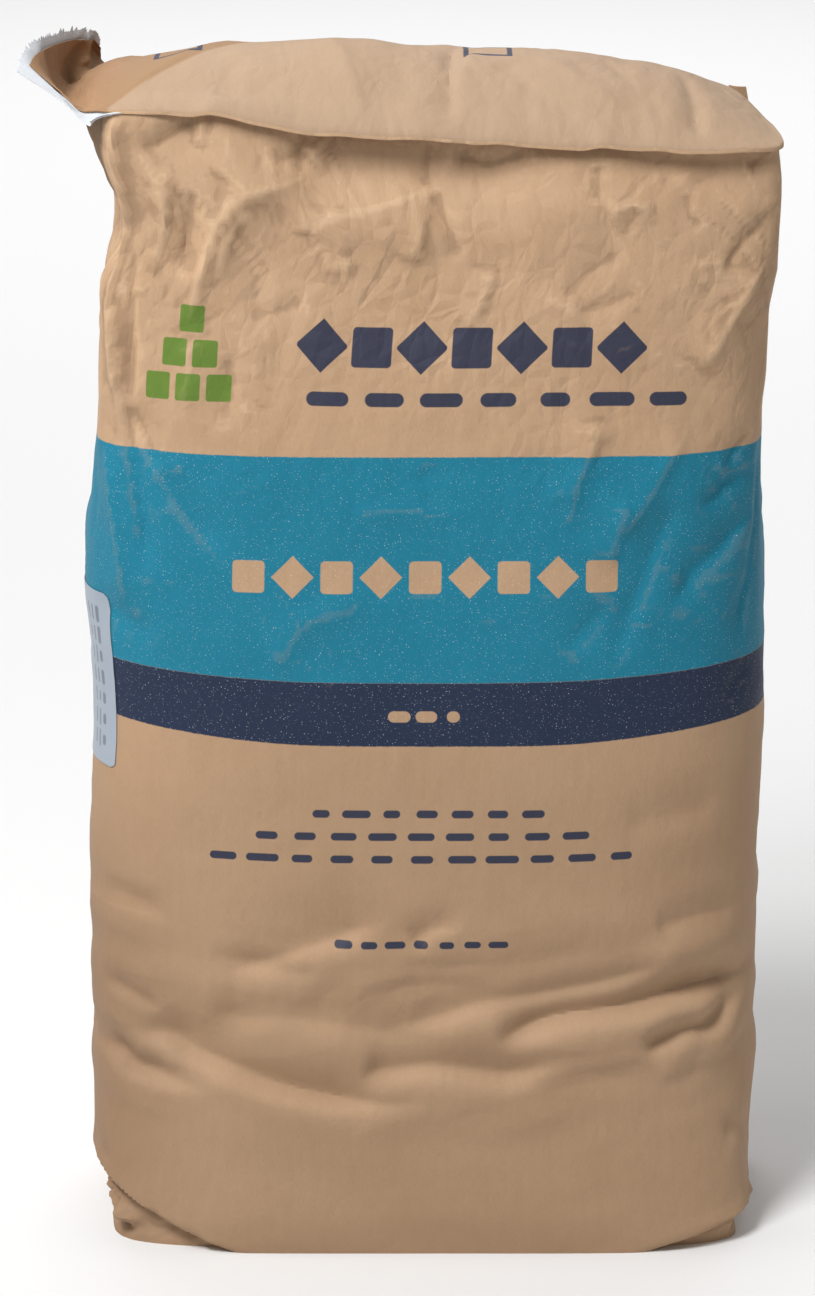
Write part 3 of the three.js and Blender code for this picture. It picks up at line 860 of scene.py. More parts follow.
# %% Strips of the valve
PLY = 0.8  # how thick a ply is
PLY_GAP = 0.9  # the space between the brown and the white ply
SLEEVE_STRIPS = [
    # name, two places (x, y, height over the panel), three places (x, y, z) in the air
    ("front edge", [(-158, -63, -2), (-182, -62.5, 1.2)],
     [(-193, -59, 690), (-204, -55, 699), (-222, -50, 714)]),
    ("front wall", [(-158, -57, -2), (-184, -54, 1.0)],
     [(-197, -47, 690.5), (-208, -42, 700), (-219, -40, 718)]),
    ("front groove", [(-158, -48, -2), (-186, -42, 1.0)],
     [(-200, -36, 692), (-209, -32, 701), (-213, -30, 720)]),
    ("middle", [(-160, -22, -2), (-186, -18, 1.5)],
     [(-202, -12, 694), (-209, -8, 703), (-209, -6, 719)]),
    ("dark crease", [(-162, 0, -2), (-184, 2, 1.5)],
     [(-203, 6, 696), (-207, 9, 704), (-203, 12, 718)]),
    ("back crease", [(-164, 14, -2), (-182, 16, 2)],
     [(-199, 17, 699), (-204, 18, 706), (-198, 19, 717)]),
    ("ridge", [(-164, 27, -2), (-180, 28, 2)],
     [(-194, 28, 699), (-197, 29, 706), (-196, 27, 716)]),
    ("back flap", [(-164, 40, -2), (-178, 42, 2)],
     [(-192, 43, 699), (-196, 46, 706), (-194, 40, 715)]),
    ("flap edge", [(-166, 50, -3), (-176, 52, 0)],
     [(-186, 54, 697), (-190, 55, 701), (-190, 50, 708)]),
]
WHITE_EDGE = [  # the white ply's own front edge
    (-183, -62.5, 687), (-188.5, -64.5, 682.5), (-194, -60.5, 684.5), (-204, -57, 694.5), (-226, -53, 709),
]
STEPS_ACROSS, STEPS_ALONG = 140, 70
WHITE_PROUD = 3.4  # how far the white ply sticks out past the brown one
print(len(SLEEVE_STRIPS), "strips")

# %% A ply from its strips


def strip_points(laid, free):
    """A strip's points, with the first ones placed by their height over the panel."""
    on_panel = [(x, y, float(panel_height(np.array(x), np.array(y))) + up) for x, y, up in laid]
    return on_panel + free


def ply_grid(proud=0.0, front_edge=None):
    """A grid of points on one ply, from the panel to a mouth that is proud of the strips' ends."""
    places = np.linspace(0, 1, STEPS_ALONG + 1)
    strips = [through(strip_points(laid, free), places) for _, laid, free in SLEEVE_STRIPS]
    if front_edge:
        strips.insert(0, through(front_edge, places))
    strips = np.stack(strips, 1)
    heading = np.gradient(strips, axis=0)
    heading /= np.linalg.norm(heading, axis=2, keepdims=True)
    past = proud * smooth(0.5, 1, places)
    strips = strips + heading * past[:, None, None]
    return np.stack([through(row, np.linspace(1, 0, STEPS_ACROSS + 1)) for row in strips])


print("a ply has", STEPS_ALONG + 1, "by", STEPS_ACROSS + 1, "points")

# %% Crumples and folds of the mouth


def crumpled(grid, amount, seed):
    """The grid with small facets pressed into it."""
    j, i = np.meshgrid(np.arange(grid.shape[0]), np.arange(grid.shape[1]), indexing="ij")
    across, along = i * 0.75 + 40, j * 0.9 + 60
    facets = crinkle(across, along, 9, seed) + 0.4 * crinkle(across, along, 4, seed + 1)
    return grid + grid_normals(grid) * (facets * amount)[..., None]


# Folds of the open mouth: across in tenths of a strip, along from the panel (0) to the mouth (70).
VALVE_FOLDS = [
    ([(56, 72), (52, 58), (47, 46), (42, 38), (36, 34)], 4.0, 4, 8),
    ([(63, 74), (61, 58), (57, 42)], -2.6, 5, 4),
    ([(20, 74), (20, 58), (23, 42), (28, 30)], 2.4, 6, 4),
    ([(46, 30), (40, 26), (34, 24)], -1.2, 3, 3),
    ([(74, 70), (73, 58), (70, 48)], 1.6, 5, 5),
]


def valve_folded(grid, extra=0):
    """The grid with the mouth's folds pressed in. The white ply has one extra strip at its front."""
    along, across = np.meshgrid(np.arange(grid.shape[0]), np.linspace(1, 0, grid.shape[1]), indexing="ij")
    strip = across * (len(SLEEVE_STRIPS) - 1 + extra) - extra
    depth = pressed(crease, VALVE_FOLDS, strip * 10, along.astype(float))
    return grid + grid_normals(grid) * depth[..., None]


sleeve_grid = valve_folded(ply_grid())
lining_grid = valve_folded(ply_grid(WHITE_PROUD, WHITE_EDGE), extra=1)
sleeve = sheet_object("valve_outer_ply", crumpled(sleeve_grid, 0.5, 91), 0, PLY)
lining = sheet_object("valve_white_ply", lining_grid, PLY + PLY_GAP, PLY)
print("valve plies:", triangle_count(sleeve), "and", triangle_count(lining), "triangles")

# %% [markdown]
# ## Writing node trees as sums
#
# The torn edge and all the finishes are node trees, and a tree is easier to read as arithmetic than as a
# web of nodes. This class wraps one output socket. Adding or multiplying two of them adds the Math node
# that does it, and one method makes every other node.

# %% A socket with arithmetic


class Wire:
    """An output socket of a node tree, with the arithmetic that the finishes need."""

    def __init__(self, tree, socket=None):
        self.tree = tree
        self.socket = socket

    def node(self, kind, settings=None, values=None, out=0):
        """Any other node: its type, its settings, then the values or links of its sockets."""
        made = self.tree.nodes.new(kind)
        for key, value in (settings or {}).items():
            setattr(made, key, value)
        for key, value in (values or {}).items():
            if isinstance(value, Wire):
                self.tree.links.new(value.socket, made.inputs[key])
            else:
                made.inputs[key].default_value = value
        return Wire(self.tree, made.outputs[out])

    def output(self, name):
        """Another output of the same node."""
        return Wire(self.tree, self.socket.node.outputs[name])

    def maths(self, operation, first, second=0.0, clamp=False):
        """A Math node of two wires or numbers."""
        settings = {"operation": operation, "use_clamp": clamp}
        return self.node("ShaderNodeMath", settings, {0: first, 1: second})

    def __add__(self, other):
        return self.maths("ADD", self, other)

    def __radd__(self, other):
        return self.maths("ADD", other, self)

    def __sub__(self, other):
        return self.maths("SUBTRACT", self, other)

    def __rsub__(self, other):
        return self.maths("SUBTRACT", other, self)

    def __mul__(self, other):
        return self.maths("MULTIPLY", self, other)

    def __rmul__(self, other):
        return self.maths("MULTIPLY", other, self)

    def __truediv__(self, other):
        return self.maths("DIVIDE", self, other)

    def __rtruediv__(self, other):
        return self.maths("DIVIDE", other, self)

    def __pow__(self, other):
        return self.maths("POWER", self, other)

    def __abs__(self):
        return self.maths("ABSOLUTE", self)

    def floor(self):
        return self.maths("FLOOR", self)

    def most(self, other):
        return self.maths("MAXIMUM", self, other)

    def clamp(self):
        return self.maths("ADD", self, 0.0, clamp=True)

    def step(self, low, high):
        """0 at low and 1 at high, with a smooth step between."""
        values = {"Value": self, "From Min": low, "From Max": high}
        return self.node("ShaderNodeMapRange", {"interpolation_type": "SMOOTHSTEP"}, values)

    def blend(self, other, share):
        """A colour mixed towards another by a share."""
        return self.node("ShaderNodeMix", {"data_type": "RGBA"}, {0: share, 6: self, 7: other}, out=2)


print("a wire's named methods:", [name for name in vars(Wire) if not name.startswith("_")])

# %% [markdown]
# ## The torn edge of the white ply
#
# The white ply was torn off at the mouth, which leaves a fringe of short fibres and slivers. Nobody wants
# to place a hundred slivers by hand, and they follow a line, so Geometry Nodes does it. The line is a
# chain of points that carry two directions: along the mouth, and out of it. The tree stands one flat
# sliver on each point, turns it by those directions, draws its size from a seeded random value, and then
# realizes the instances, because only a real mesh can be exported.

# %% The line that the slivers stand on
FRINGE_STEP = 2  # one sliver for every second column of the ply


def mouth_line(grid):
    """A mesh of loose points along a ply's mouth, each with the directions along and out of it."""
    edge = grid[-1] + grid_normals(grid)[-1] * (PLY + PLY_GAP + PLY / 2)
    out, along = grid[-1] - grid[-4], np.gradient(grid[-1], axis=0)
    line = bpy.data.meshes.new("mouth_line")
    line.from_pydata((edge[::FRINGE_STEP] * MM).tolist(), [], [])
    for name, vectors in (("out", out), ("along", along)):
        layer = line.attributes.new(name, "FLOAT_VECTOR", "POINT")
        layer.data.foreach_set("vector", vectors[::FRINGE_STEP].astype(np.float32).ravel())
    return placed("torn_fringe", line)


mouth = mouth_line(lining_grid)
print("slivers:", len(mouth.data.vertices))

# %% The tree that stands a sliver on each point
FRINGE_INPUTS = {
    # each input's kind and value, with lengths in metres
    "Shortest": ("Float", 0.0012),
    "Longest": ("Float", 0.0046),
    "Width": ("Float", 0.0034),
    "Thickness": ("Float", 0.0005),
    "Seed": ("Int", 5),
}
LEAN = 0.45  # the most that a sliver leans to either side, in radians


def fringe_tree():
    """Slivers on points, and the identifiers of the tree's named inputs."""
    tree = bpy.data.node_groups.new("torn_edge", "GeometryNodeTree")
    face = tree.interface
    face.new_socket("Geometry", in_out="INPUT", socket_type="NodeSocketGeometry")
    face.new_socket("Geometry", in_out="OUTPUT", socket_type="NodeSocketGeometry")
    names = {}
    for name, (kind, _) in FRINGE_INPUTS.items():
        names[name] = face.new_socket(name, in_out="INPUT", socket_type="NodeSocket" + kind).identifier
    finish = face.new_socket("Material", in_out="INPUT", socket_type="NodeSocketMaterial")
    names["Material"] = finish.identifier
    wire = Wire(tree)
    given = wire.node("NodeGroupInput", out="Geometry")
    draw = {"data_type": "FLOAT"}
    pointed = {"Vertices": 4, "Radius Top": 0.12, "Radius Bottom": 0.7, "Depth": 1.0}
    sliver = wire.node("GeometryNodeMeshCone", {}, pointed)
    lengths = {2: given.output("Shortest"), 3: given.output("Longest"), "Seed": given.output("Seed")}
    length = wire.node("FunctionNodeRandomValue", draw, lengths, out=1)
    leans = {2: -LEAN, 3: LEAN, "Seed": given.output("Seed") + 1.0}
    lean = wire.node("FunctionNodeRandomValue", draw, leans, out=1)
    sizes = {"X": given.output("Width"), "Y": given.output("Thickness"), "Z": length}
    size = wire.node("ShaderNodeCombineXYZ", {}, sizes)
    stored = {"data_type": "FLOAT_VECTOR"}
    out = wire.node("GeometryNodeInputNamedAttribute", stored, {"Name": "out"})
    along = wire.node("GeometryNodeInputNamedAttribute", stored, {"Name": "along"})
    upright = wire.node("FunctionNodeAlignRotationToVector", {"axis": "Z"}, {"Vector": out})
    facing = {"axis": "X", "pivot_axis": "Z"}
    turned = wire.node("FunctionNodeAlignRotationToVector", facing, {"Rotation": upright, "Vector": along})
    tilt = wire.node("ShaderNodeCombineXYZ", {}, {"Y": lean})
    leaning = {"Rotation": turned, "Rotate By": tilt}
    turned = wire.node("FunctionNodeRotateRotation", {"rotation_space": "LOCAL"}, leaning)
    standing = {"Points": given, "Instance": sliver, "Rotation": turned, "Scale": size}
    stood = wire.node("GeometryNodeInstanceOnPoints", {}, standing)
    real = wire.node("GeometryNodeRealizeInstances", {}, {"Geometry": stood})
    dressed = {"Geometry": real, "Material": given.output("Material")}
    done = wire.node("GeometryNodeSetMaterial", {}, dressed)
    end = tree.nodes.new("NodeGroupOutput")
    tree.links.new(done.socket, end.inputs["Geometry"])
    return tree, names


torn_edge, fringe_names = fringe_tree()
print("tree:", len(torn_edge.nodes), "nodes, inputs", list(fringe_names))

# %% [markdown]
# ## The side label
#
# A self-adhesive address label is stuck round the left-hand side, over the edge of the colour bands. It
# follows the paper, so its grid is read from the wall, with the corners drawn in to make them round.

# %% The label
LABEL_S = (-288, -197)  # from and to, the way round
LABEL_Z = (300, 407)  # from and to, in height
LABEL_CORNER = 4.0  # the radius of its corners


def on_wall(s, z):
    """The wall's point at each (s, z), between the grid's own points."""
    column = (s / GIRTH + 0.5) * COLUMNS
    row = np.interp(z, rows, np.arange(len(rows)))
    i, j = np.floor(column).astype(int), np.minimum(np.floor(row).astype(int), len(rows) - 2)
    fi, fj = (column - i)[..., None], (row - j)[..., None]
    low = wall[j, i % COLUMNS] * (1 - fi) + wall[j, (i + 1) % COLUMNS] * fi
    high = wall[j + 1, i % COLUMNS] * (1 - fi) + wall[j + 1, (i + 1) % COLUMNS] * fi
    return low * (1 - fj) + high * fj


def label_grid(count_s=46, count_z=54):
    """The label's points on the wall, drawn in at its corners."""
    across, up = np.meshgrid(np.linspace(-1, 1, count_s), np.linspace(-1, 1, count_z))
    half_s, half_z = (LABEL_S[1] - LABEL_S[0]) / 2, (LABEL_Z[1] - LABEL_Z[0]) / 2
    past = np.clip(np.abs(up) * half_z - (half_z - LABEL_CORNER), 0, None)
    drawn_in = LABEL_CORNER - np.sqrt(LABEL_CORNER**2 - past**2)
    s = sum(LABEL_S) / 2 + across * (half_s - drawn_in)
    return on_wall(s, sum(LABEL_Z) / 2 + up * half_z)


label = sheet_object("address_label", label_grid(), 0.35, 0.3)
print("label:", triangle_count(label), "triangles")

# %% [markdown]
# ## Finishes
#
# A finish is one shader. What is the same all over the piece is set straight on the shader's sockets, and
# only what changes over the surface comes in by a wire. Colours are given as a colour picker shows them
# and turned into the linear numbers that Blender mixes.

# %% New finishes and colours


def new_finish(name, **uniform):
    """A material with one shader. Settings that are the same all over go straight onto its sockets."""
    material = bpy.data.materials.new(name)
    material.use_nodes = True
    shader = material.node_tree.nodes["Principled BSDF"]
    for key, value in uniform.items():
        shader.inputs[key.replace("_", " ")].default_value = value
    return material, shader, Wire(material.node_tree)


def feed(shader, **wires):
    """Link wires to the shader's sockets."""
    for key, wire in wires.items():
        wire.tree.links.new(wire.socket, shader.inputs[key.replace("_", " ")])


def rgb(*picked):
    """A linear colour from the 0 to 255 numbers of a colour picker."""
    shares = [c / 255 for c in picked]
    linear = [c / 12.92 if c <= 0.04045 else ((c + 0.055) / 1.055) ** 2.4 for c in shares]
    return (*linear, 1.0)


print("kraft brown is", [round(c, 3) for c in rgb(184, 153, 123)])

# %% [markdown]
# ## Kraft paper
#
# Kraft paper is unbleached wood fibre. From a step away it is an even light brown; closer, it has cloudy
# patches where the fibres lie thicker, fine streaks along the way the paper was rolled, and a few dark
# specks of bark. The pattern is worked out on the paper's own coordinates, so it bends with each fold.

# %% Paper coordinates in a finish


def paper_uv(wire):
    """The paper coordinates, in metres."""
    return wire.node("ShaderNodeUVMap", {"uv_map": "paper"})


def in_mm(uv):
    """The two paper coordinates apart, in millimetres."""
    parts = uv.node("ShaderNodeSeparateXYZ", {}, {"Vector": uv}, out="X")
    return parts * 1000.0, parts.output("Y") * 1000.0


def bump(wire, height, strength=1.0):
    """A normal from a height in millimetres."""
    values = {"Strength": strength, "Distance": MM, "Height": height}
    return wire.node("ShaderNodeBump", {}, values)


print("a bump of 1 is", MM, "m high")

# %% Fibre pattern


def noise(wire, vector, scale, detail=2.0, rough=0.5, out=0):
    """Soft noise from 0 to 1."""
    values = {"Vector": vector, "Scale": scale, "Detail": detail, "Roughness": rough}
    return wire.node("ShaderNodeTexNoise", {}, values, out)


def stretched(wire, uv, across, along):
    """The paper coordinates scaled apart, so that a round pattern becomes a streak."""
    settings = {"vector_type": "POINT"}
    return wire.node("ShaderNodeMapping", settings, {"Vector": uv, "Scale": (across, along, 1.0)})


def fibre(wire, uv):
    """Three wires: cloudy patches, streaks along the sheet and fine fibres, each about 0 to 1."""
    clouds = noise(wire, uv, 14, 3.0, 0.55)
    streaks = noise(wire, stretched(wire, uv, 210, 26), 1.0, 3.0, 0.6)
    fine = noise(wire, stretched(wire, uv, 1500, 340), 1.0, 2.0, 0.6)
    return clouds, streaks, fine


def two_tone(share, dark, pale):
    """A colour between two, by a wire that runs from 0 to 1."""
    return share.node("ShaderNodeMix", {"data_type": "RGBA"}, {0: share.clamp(), 6: dark, 7: pale}, out=2)


def kraft_colour(wire, uv, pale, dark):
    """The colour of bare kraft paper, and two of its fibre patterns."""
    clouds, streaks, fine = fibre(wire, uv)
    share = (clouds - 0.5) * 0.9 + (streaks - 0.5) * 0.45 + (fine - 0.5) * 0.8 + 0.5
    colour = two_tone(share, dark, pale)
    speck = noise(wire, uv, 900, 1.0).step(0.7, 0.78) * 0.35
    return colour.blend(rgb(120, 84, 52), speck), streaks, fine


print("a streak is about", round(1000 / 210, 1), "mm wide")

# %% [markdown]
# Paper that has been handled is never flat between its folds. It is covered with faint facets which meet
# in short straight lines. The distance to the edge of a Voronoi cell gives just that: each cell is a low
# pyramid of flat faces. A noise bends the cells a little, so that they don't look like tiles.

# %% Facets of handled paper


def facets(wire, uv, size, stretch):
    """Low pyramids of a typical size in mm, taller than wide by the stretch: 0 to about 0.5."""
    scale = 1000.0 / size
    vector = stretched(wire, uv, scale, scale / stretch)
    sway = noise(wire, vector, 0.7, 1.0, out="Color")
    sizes = {0: sway, 1: (0.9, 0.9, 0.9), 2: vector}
    bent = wire.node("ShaderNodeVectorMath", {"operation": "MULTIPLY_ADD"}, sizes)
    values = {"Vector": bent, "Scale": 1.0}
    return wire.node("ShaderNodeTexVoronoi", {"feature": "DISTANCE_TO_EDGE"}, values, out="Distance")


print("facets are 34 and 12 mm wide")

# %% [markdown]
# ## The print
#
# Three inks are printed on the sheet before it is made into a sack: a wide teal band, a narrow navy band
# under it, and navy and green marks. The marks are plain figures: squares and diamonds in turn, broken
# rules, and a small pile of squares. Each is a mask on the paper coordinates, from 0 off it to 1 on it.

# %% Masks for printed figures
NAVY_BAND = (327, 365)
TEAL_BAND = (365, 497)


def box_mask(u, v, centre, half, corner=1.0, soft=0.35):
    """A rounded rectangle round a centre, with its half sizes in mm."""
    du = (abs(u - centre[0]) - (half[0] - corner)).most(0.0)
    dv = (abs(v - centre[1]) - (half[1] - corner)).most(0.0)
    off = (du * du + dv * dv) ** 0.5 - corner
    return off.step(soft, -soft)


def in_row(u, centre, pitch):
    """The place within one cell of a row, from minus half a pitch to half a pitch, and the cell's number."""
    along = (u - centre) / pitch + 0.5
    cell = along.floor()
    return (along - cell - 0.5) * pitch, cell


print("bands:", NAVY_BAND, TEAL_BAND)

# %% Rows and piles of figures


def lump_row(u, v, centre, count, pitch, half):
    """A row of squares and diamonds in turn."""
    local, cell = in_row(u, centre[0], pitch)
    square = box_mask(local, v, (0.0, centre[1]), (half, half), 2.5)
    off = abs(local) + abs(v - centre[1]) - half * 1.32
    diamond = off.step(0.4, -0.4)
    odd = cell.maths("MODULO", cell + 100.0, 2.0)
    figure = square * (1 - odd) + diamond * odd
    reach = pitch * count / 2
    return figure * box_mask(u, v, centre, (reach, half * 1.5))


def rule_row(u, v, centre, count, half_height, pitch, seed):
    """A broken rule: an odd count of bars of uneven length, one to a cell."""
    local, cell = in_row(u, centre[0], pitch)
    draw = u.node("ShaderNodeTexWhiteNoise", {"noise_dimensions": "1D"}, {"W": cell + seed})
    reach = draw * (pitch * 0.2) + pitch * 0.24
    du = (abs(local) - reach + half_height).most(0.0)
    dv = abs(v - centre[1])
    off = (du * du + dv * dv) ** 0.5 - half_height
    reach = pitch * count / 2
    return off.step(0.35, -0.35) * abs(u - centre[0]).step(reach + 0.3, reach - 0.3)


def pile(u, v, foot, size, layers):
    """A pile of squares, one fewer in each layer."""
    mask = None
    for layer in range(layers):
        for k in range(layers - layer):
            off_middle = k - (layers - layer - 1) / 2
            centre = (foot[0] + off_middle * size * 1.25, foot[1] + layer * size * 1.25)
            square = box_mask(u, v, centre, (size / 2, size / 2), 1.6)
            mask = square if mask is None else mask.most(square)
    return mask


print("a pile of 3 layers has", 3 + 2 + 1, "squares")

# %% Navy marks
RULE_ROWS = [
    # centre, bars, half their height, pitch, seed
    ((40.0, 531.0), 7, 4.2, 34.0, 11.0),
    ((0.0, 285.5), 7, 2.4, 21.0, 21.0),
    ((-3.0, 271.5), 9, 2.4, 23.0, 31.0),
    ((-2.0, 257.5), 11, 2.4, 23.8, 41.0),
    ((-2.0, 204.0), 7, 2.2, 15.4, 51.0),
]
PANEL_BOXES = [((-142.0, 1013.0), (14.0, 18.0)), ((35.0, 1012.0), (14.0, 14.0))]  # centre, half sizes
BOX_LINE = 3.0  # how thick the boxes are drawn


def navy_marks(face_u, u, v):
    """The row of squares and diamonds, the broken rules, and the two boxes on the top panel."""
    marks = lump_row(face_u, v, (23.0, 562.0), 7, 30.0, 12.0)
    for row in RULE_ROWS:
        marks = marks.most(rule_row(face_u, v, *row))
    for centre, half in PANEL_BOXES:
        inner = (half[0] - BOX_LINE, half[1] - BOX_LINE)
        marks = marks.most(box_mask(u, v, centre, half) - box_mask(u, v, centre, inner))
    return marks


print(len(RULE_ROWS), "broken rules and", len(PANEL_BOXES), "boxes")

# %% The two bands
BAND_BLUR = 0.4  # half of the blur at a printed edge
BAND_RISE = 7.0  # how far the navy band's lower edge climbs towards the sides


def band(lower, upper, limits):
    """A band's mask: its lower edge is read from one wire and its upper edge from another."""
    low, high = limits
    above = lower.step(low - BAND_BLUR, low + BAND_BLUR)
    return above * upper.step(high + BAND_BLUR, high - BAND_BLUR)


def printed_bands(wire, uv, face_u, v):
    """The masks of the navy and the teal band."""
    wavy = v + (noise(wire, uv, 400, 2.0) - 0.5) * 0.9
    rise = abs(face_u).step(60.0, 210.0) * BAND_RISE
    between = wavy - rise * 0.6
    return band(wavy - rise, between, NAVY_BAND), band(between, wavy, TEAL_BAND)


print("the bands are", NAVY_BAND[1] - NAVY_BAND[0], "and", TEAL_BAND[1] - TEAL_BAND[0], "mm tall")

# %% [markdown]
# ## The sack's finish
#
# The bare paper isn't one brown. The panel's smooth end by the valve is a darker tone, partly painted shade,
# the whole top panel is greyed with a painted sheen, and ridges are worn pale. Painted shade darkens the
# lower paper, most of all at its left-hand end, and the bottoms of sharp valleys, and a painted shadow lies
# under the ear. The inks go over that: they are thin, so their colour follows the fibres, and they are
# rubbed through on ridges and dusted with sugar. Facets and crackle come last, as a bump.

# %% Tones of the bare paper, with painted shade and sheen
KRAFT_PALE, KRAFT_DARK = rgb(184, 153, 123), rgb(168, 136, 105)
KRAFT_TAN_WITH_PAINTED_SHADE = rgb(146, 114, 82)  # the smooth end of the panel beside the valve: a darker tone of paper, partly painted shade
KRAFT_PAINTED_SHADE = rgb(118, 91, 68)  # painted shade: what the lower paper and the bottom of a sharp valley are darkened to
KRAFT_PAINTED_SHEEN = rgb(140, 125, 110)  # painted sheen: what the top panel is greyed towards
KRAFT_WORN = rgb(214, 184, 152)  # what a sharp ridge tends to
KRAFT_PAINTED_EAR_SHADOW = rgb(92, 70, 52)  # painted shadow: what the paper under the ear is darkened to


def toned_paper(paper, u, v, bend):
    """The kraft colour with its tones, painted shade and painted sheen, and the masks of the top panel and of
    its smooth end.
    """
    # the top panel is greyed below with painted sheen
    on_panel = v.step(900.0, 901.0)
    # the panel's smooth end takes a darker tone that is partly painted shade
    smooth_end = (v - 1000.0 - (u + 180.0) * 1.05 + 64.0).step(-2.0, 3.0) * on_panel
    # painted shade darkens the lower paper, most of all at its left-hand end
    low_left = v.step(330.0, 150.0) * u.step(-120.0, -205.0) * u.step(-330.0, -260.0)
    low = v.step(420.0, 250.0) * 0.2 + low_left * 0.4
    tan = paper.blend(KRAFT_PAINTED_SHEEN, on_panel * 0.38).blend(KRAFT_TAN_WITH_PAINTED_SHADE, smooth_end * 0.9).blend(KRAFT_PAINTED_SHADE, low)
    crisp = v.step(420.0, 540.0) * 0.85 + 0.15
    # painted shade in the bottoms of sharp valleys, then real wear pales the sharp ridges
    tan = tan.blend(KRAFT_PAINTED_SHADE, bend.step(-0.2, -0.9) * crisp * 0.3)
    tan = tan.blend(KRAFT_WORN, bend.step(0.3, 0.95) * crisp * 0.2)
    # painted shadow on the paper under the ear, below the valve
    ear_front = -190.0 - (690.0 - v) * 0.16
    hollow = (ear_front - u).step(0.0, 5.0) * u.step(-262.0, -236.0) * v.step(600.0, 634.0)
    return tan.blend(KRAFT_PAINTED_EAR_SHADOW, hollow * (1 - on_panel) * 0.7), on_panel, smooth_end


print("tones from", [round(c, 2) for c in KRAFT_PAINTED_EAR_SHADOW[:3]], "to", [round(c, 2) for c in KRAFT_WORN[:3]])

# %% Facets and crackle as a height


def handled_height(wire, uv, v, on_panel, smooth_end):
    """A height in mm: strong on the slack upper paper, faint on the panel's smooth end."""
    handled = noise(wire, uv, 11, 2.0).step(0.3, 0.7) * 0.7 + 0.4
    slack = (v.step(440.0, 580.0) * (1 - smooth_end * 0.8) * 0.8 + 0.2) * handled
    crackle = noise(wire, stretched(wire, uv, 130, 95), 1.0, 4.0, 0.6)
    large, small = facets(wire, uv, 34.0, 1.7), facets(wire, uv, 12.0, 1.3)
    return (large * 3.4 + small * 1.5) * slack * (1 - on_panel * 0.4) + crackle * 0.4


print("crackle is about", round(1000 / 130, 1), "mm wide")

# %% The printed sack
TEAL_DARK, TEAL_PALE = rgb(4, 98, 124), rgb(30, 128, 152)
NAVY_DARK, NAVY_PALE = rgb(22, 33, 56), rgb(38, 50, 75)
GREEN = rgb(82, 118, 34)
SUGAR_DUST = rgb(225, 228, 228)


def printed_sack():
    """Kraft paper with its inks, from the paper coordinates."""
    material, shader, wire = new_finish("printed_kraft", Specular_IOR_Level=0.25)
    uv = paper_uv(wire)
    u, v = in_mm(uv)
    on_back = abs(u).step(GIRTH / 4 - 0.01, GIRTH / 4 + 0.01)
    face_u = u - on_back * wire.maths("SIGN", u) * (GIRTH / 2)
    paper, streaks, fine = kraft_colour(wire, uv, KRAFT_PALE, KRAFT_DARK)
    bend = wire.node("ShaderNodeAttribute", {"attribute_name": "bend"}, {}, out="Fac")
    tan, on_panel, smooth_end = toned_paper(paper, u, v, bend)

    worn = (noise(wire, uv, 260, 3.0, 0.7).step(0.68, 0.76) * 0.3 + bend.step(0.4, 1.0) * 0.15).clamp()
    inked = 1 - worn * 0.55
    navy_band, teal_band = printed_bands(wire, uv, face_u, v)
    bare_figures = lump_row(face_u, v, (0.0, 427.0), 9, 26.0, 9.5)
    bare_bars = rule_row(face_u, v, (-2.0, 345.0), 3, 3.4, 16.0, 3.0)
    teal_share = teal_band * (1 - bare_figures) * inked
    navy_share = (navy_band * (1 - bare_bars)).most(navy_marks(face_u, u, v) * 0.95) * inked
    green_share = pile(face_u, v, (-146.0, 534.0), 15.0, 3) * inked * 0.92

    ink_tone = (noise(wire, uv, 22, 3.0) - 0.5) * 0.3 + (fine - 0.5) * 0.4 + 0.5
    colour = tan.blend(two_tone(ink_tone, TEAL_DARK, TEAL_PALE), teal_share)
    colour = colour.blend(two_tone(ink_tone, NAVY_DARK, NAVY_PALE), navy_share)
    colour = colour.blend(GREEN, green_share)
    dust = noise(wire, uv, 1300, 0.0).step(0.74, 0.8) * (teal_band + navy_band) * 0.5
    colour = colour.blend(SUGAR_DUST, dust.clamp())
    rough = 0.68 - (teal_share + navy_share).clamp() * 0.1 + (fine - 0.5) * 0.1
    height = handled_height(wire, uv, v, on_panel, smooth_end) + streaks * 0.08 + fine * 0.05
    feed(shader, Base_Color=colour, Roughness=rough, Normal=bump(wire, height))
    return material


sack.data.materials.append(printed_sack())
print("sack's finish:", len(sack.data.materials[0].node_tree.nodes), "nodes")

# %% [markdown]
# ## The plies and the label
#
# The sleeve is the same kind of paper as the sack, a little redder and without ink. The white ply is
# bleached and so thin that light comes through it, which a touch of emission stands for. The label is a
# satin sticker, with thin grey rules in rows.

# %% Finishes of the plies and the label


def plain_kraft():
    """The sleeve's own paper: a little redder than the sack's, with the same fibres."""
    material, shader, wire = new_finish("sleeve_kraft", Specular_IOR_Level=0.3)
    uv = paper_uv(wire)
    colour, streaks, fine = kraft_colour(wire, uv, rgb(160, 126, 95), rgb(143, 109, 79))
    height = noise(wire, uv, 120, 4.0, 0.6) * 0.5 + streaks * 0.12 + fine * 0.09
    feed(shader, Base_Color=colour, Roughness=0.8 - (fine - 0.5) * 0.1, Normal=bump(wire, height, 0.6))
    return material


def white_paper():
    """Bleached paper: nearly even, with faint fibres and a touch of light of its own."""
    glow = {"Emission_Color": (0.8, 0.82, 0.85, 1), "Emission_Strength": 0.07}
    material, shader, wire = new_finish("bleached_paper", Specular_IOR_Level=0.35, **glow)
    uv = paper_uv(wire)
    clouds, streaks, fine = fibre(wire, uv)
    shade = (clouds - 0.5) * 0.6 + (fine - 0.5) * 0.8 + 0.5
    colour = two_tone(shade, rgb(178, 181, 185), rgb(196, 199, 203))
    height = streaks * 0.15 + fine * 0.1
    feed(shader, Base_Color=colour, Roughness=0.7 - (fine - 0.5) * 0.1, Normal=bump(wire, height, 0.5))
    return material


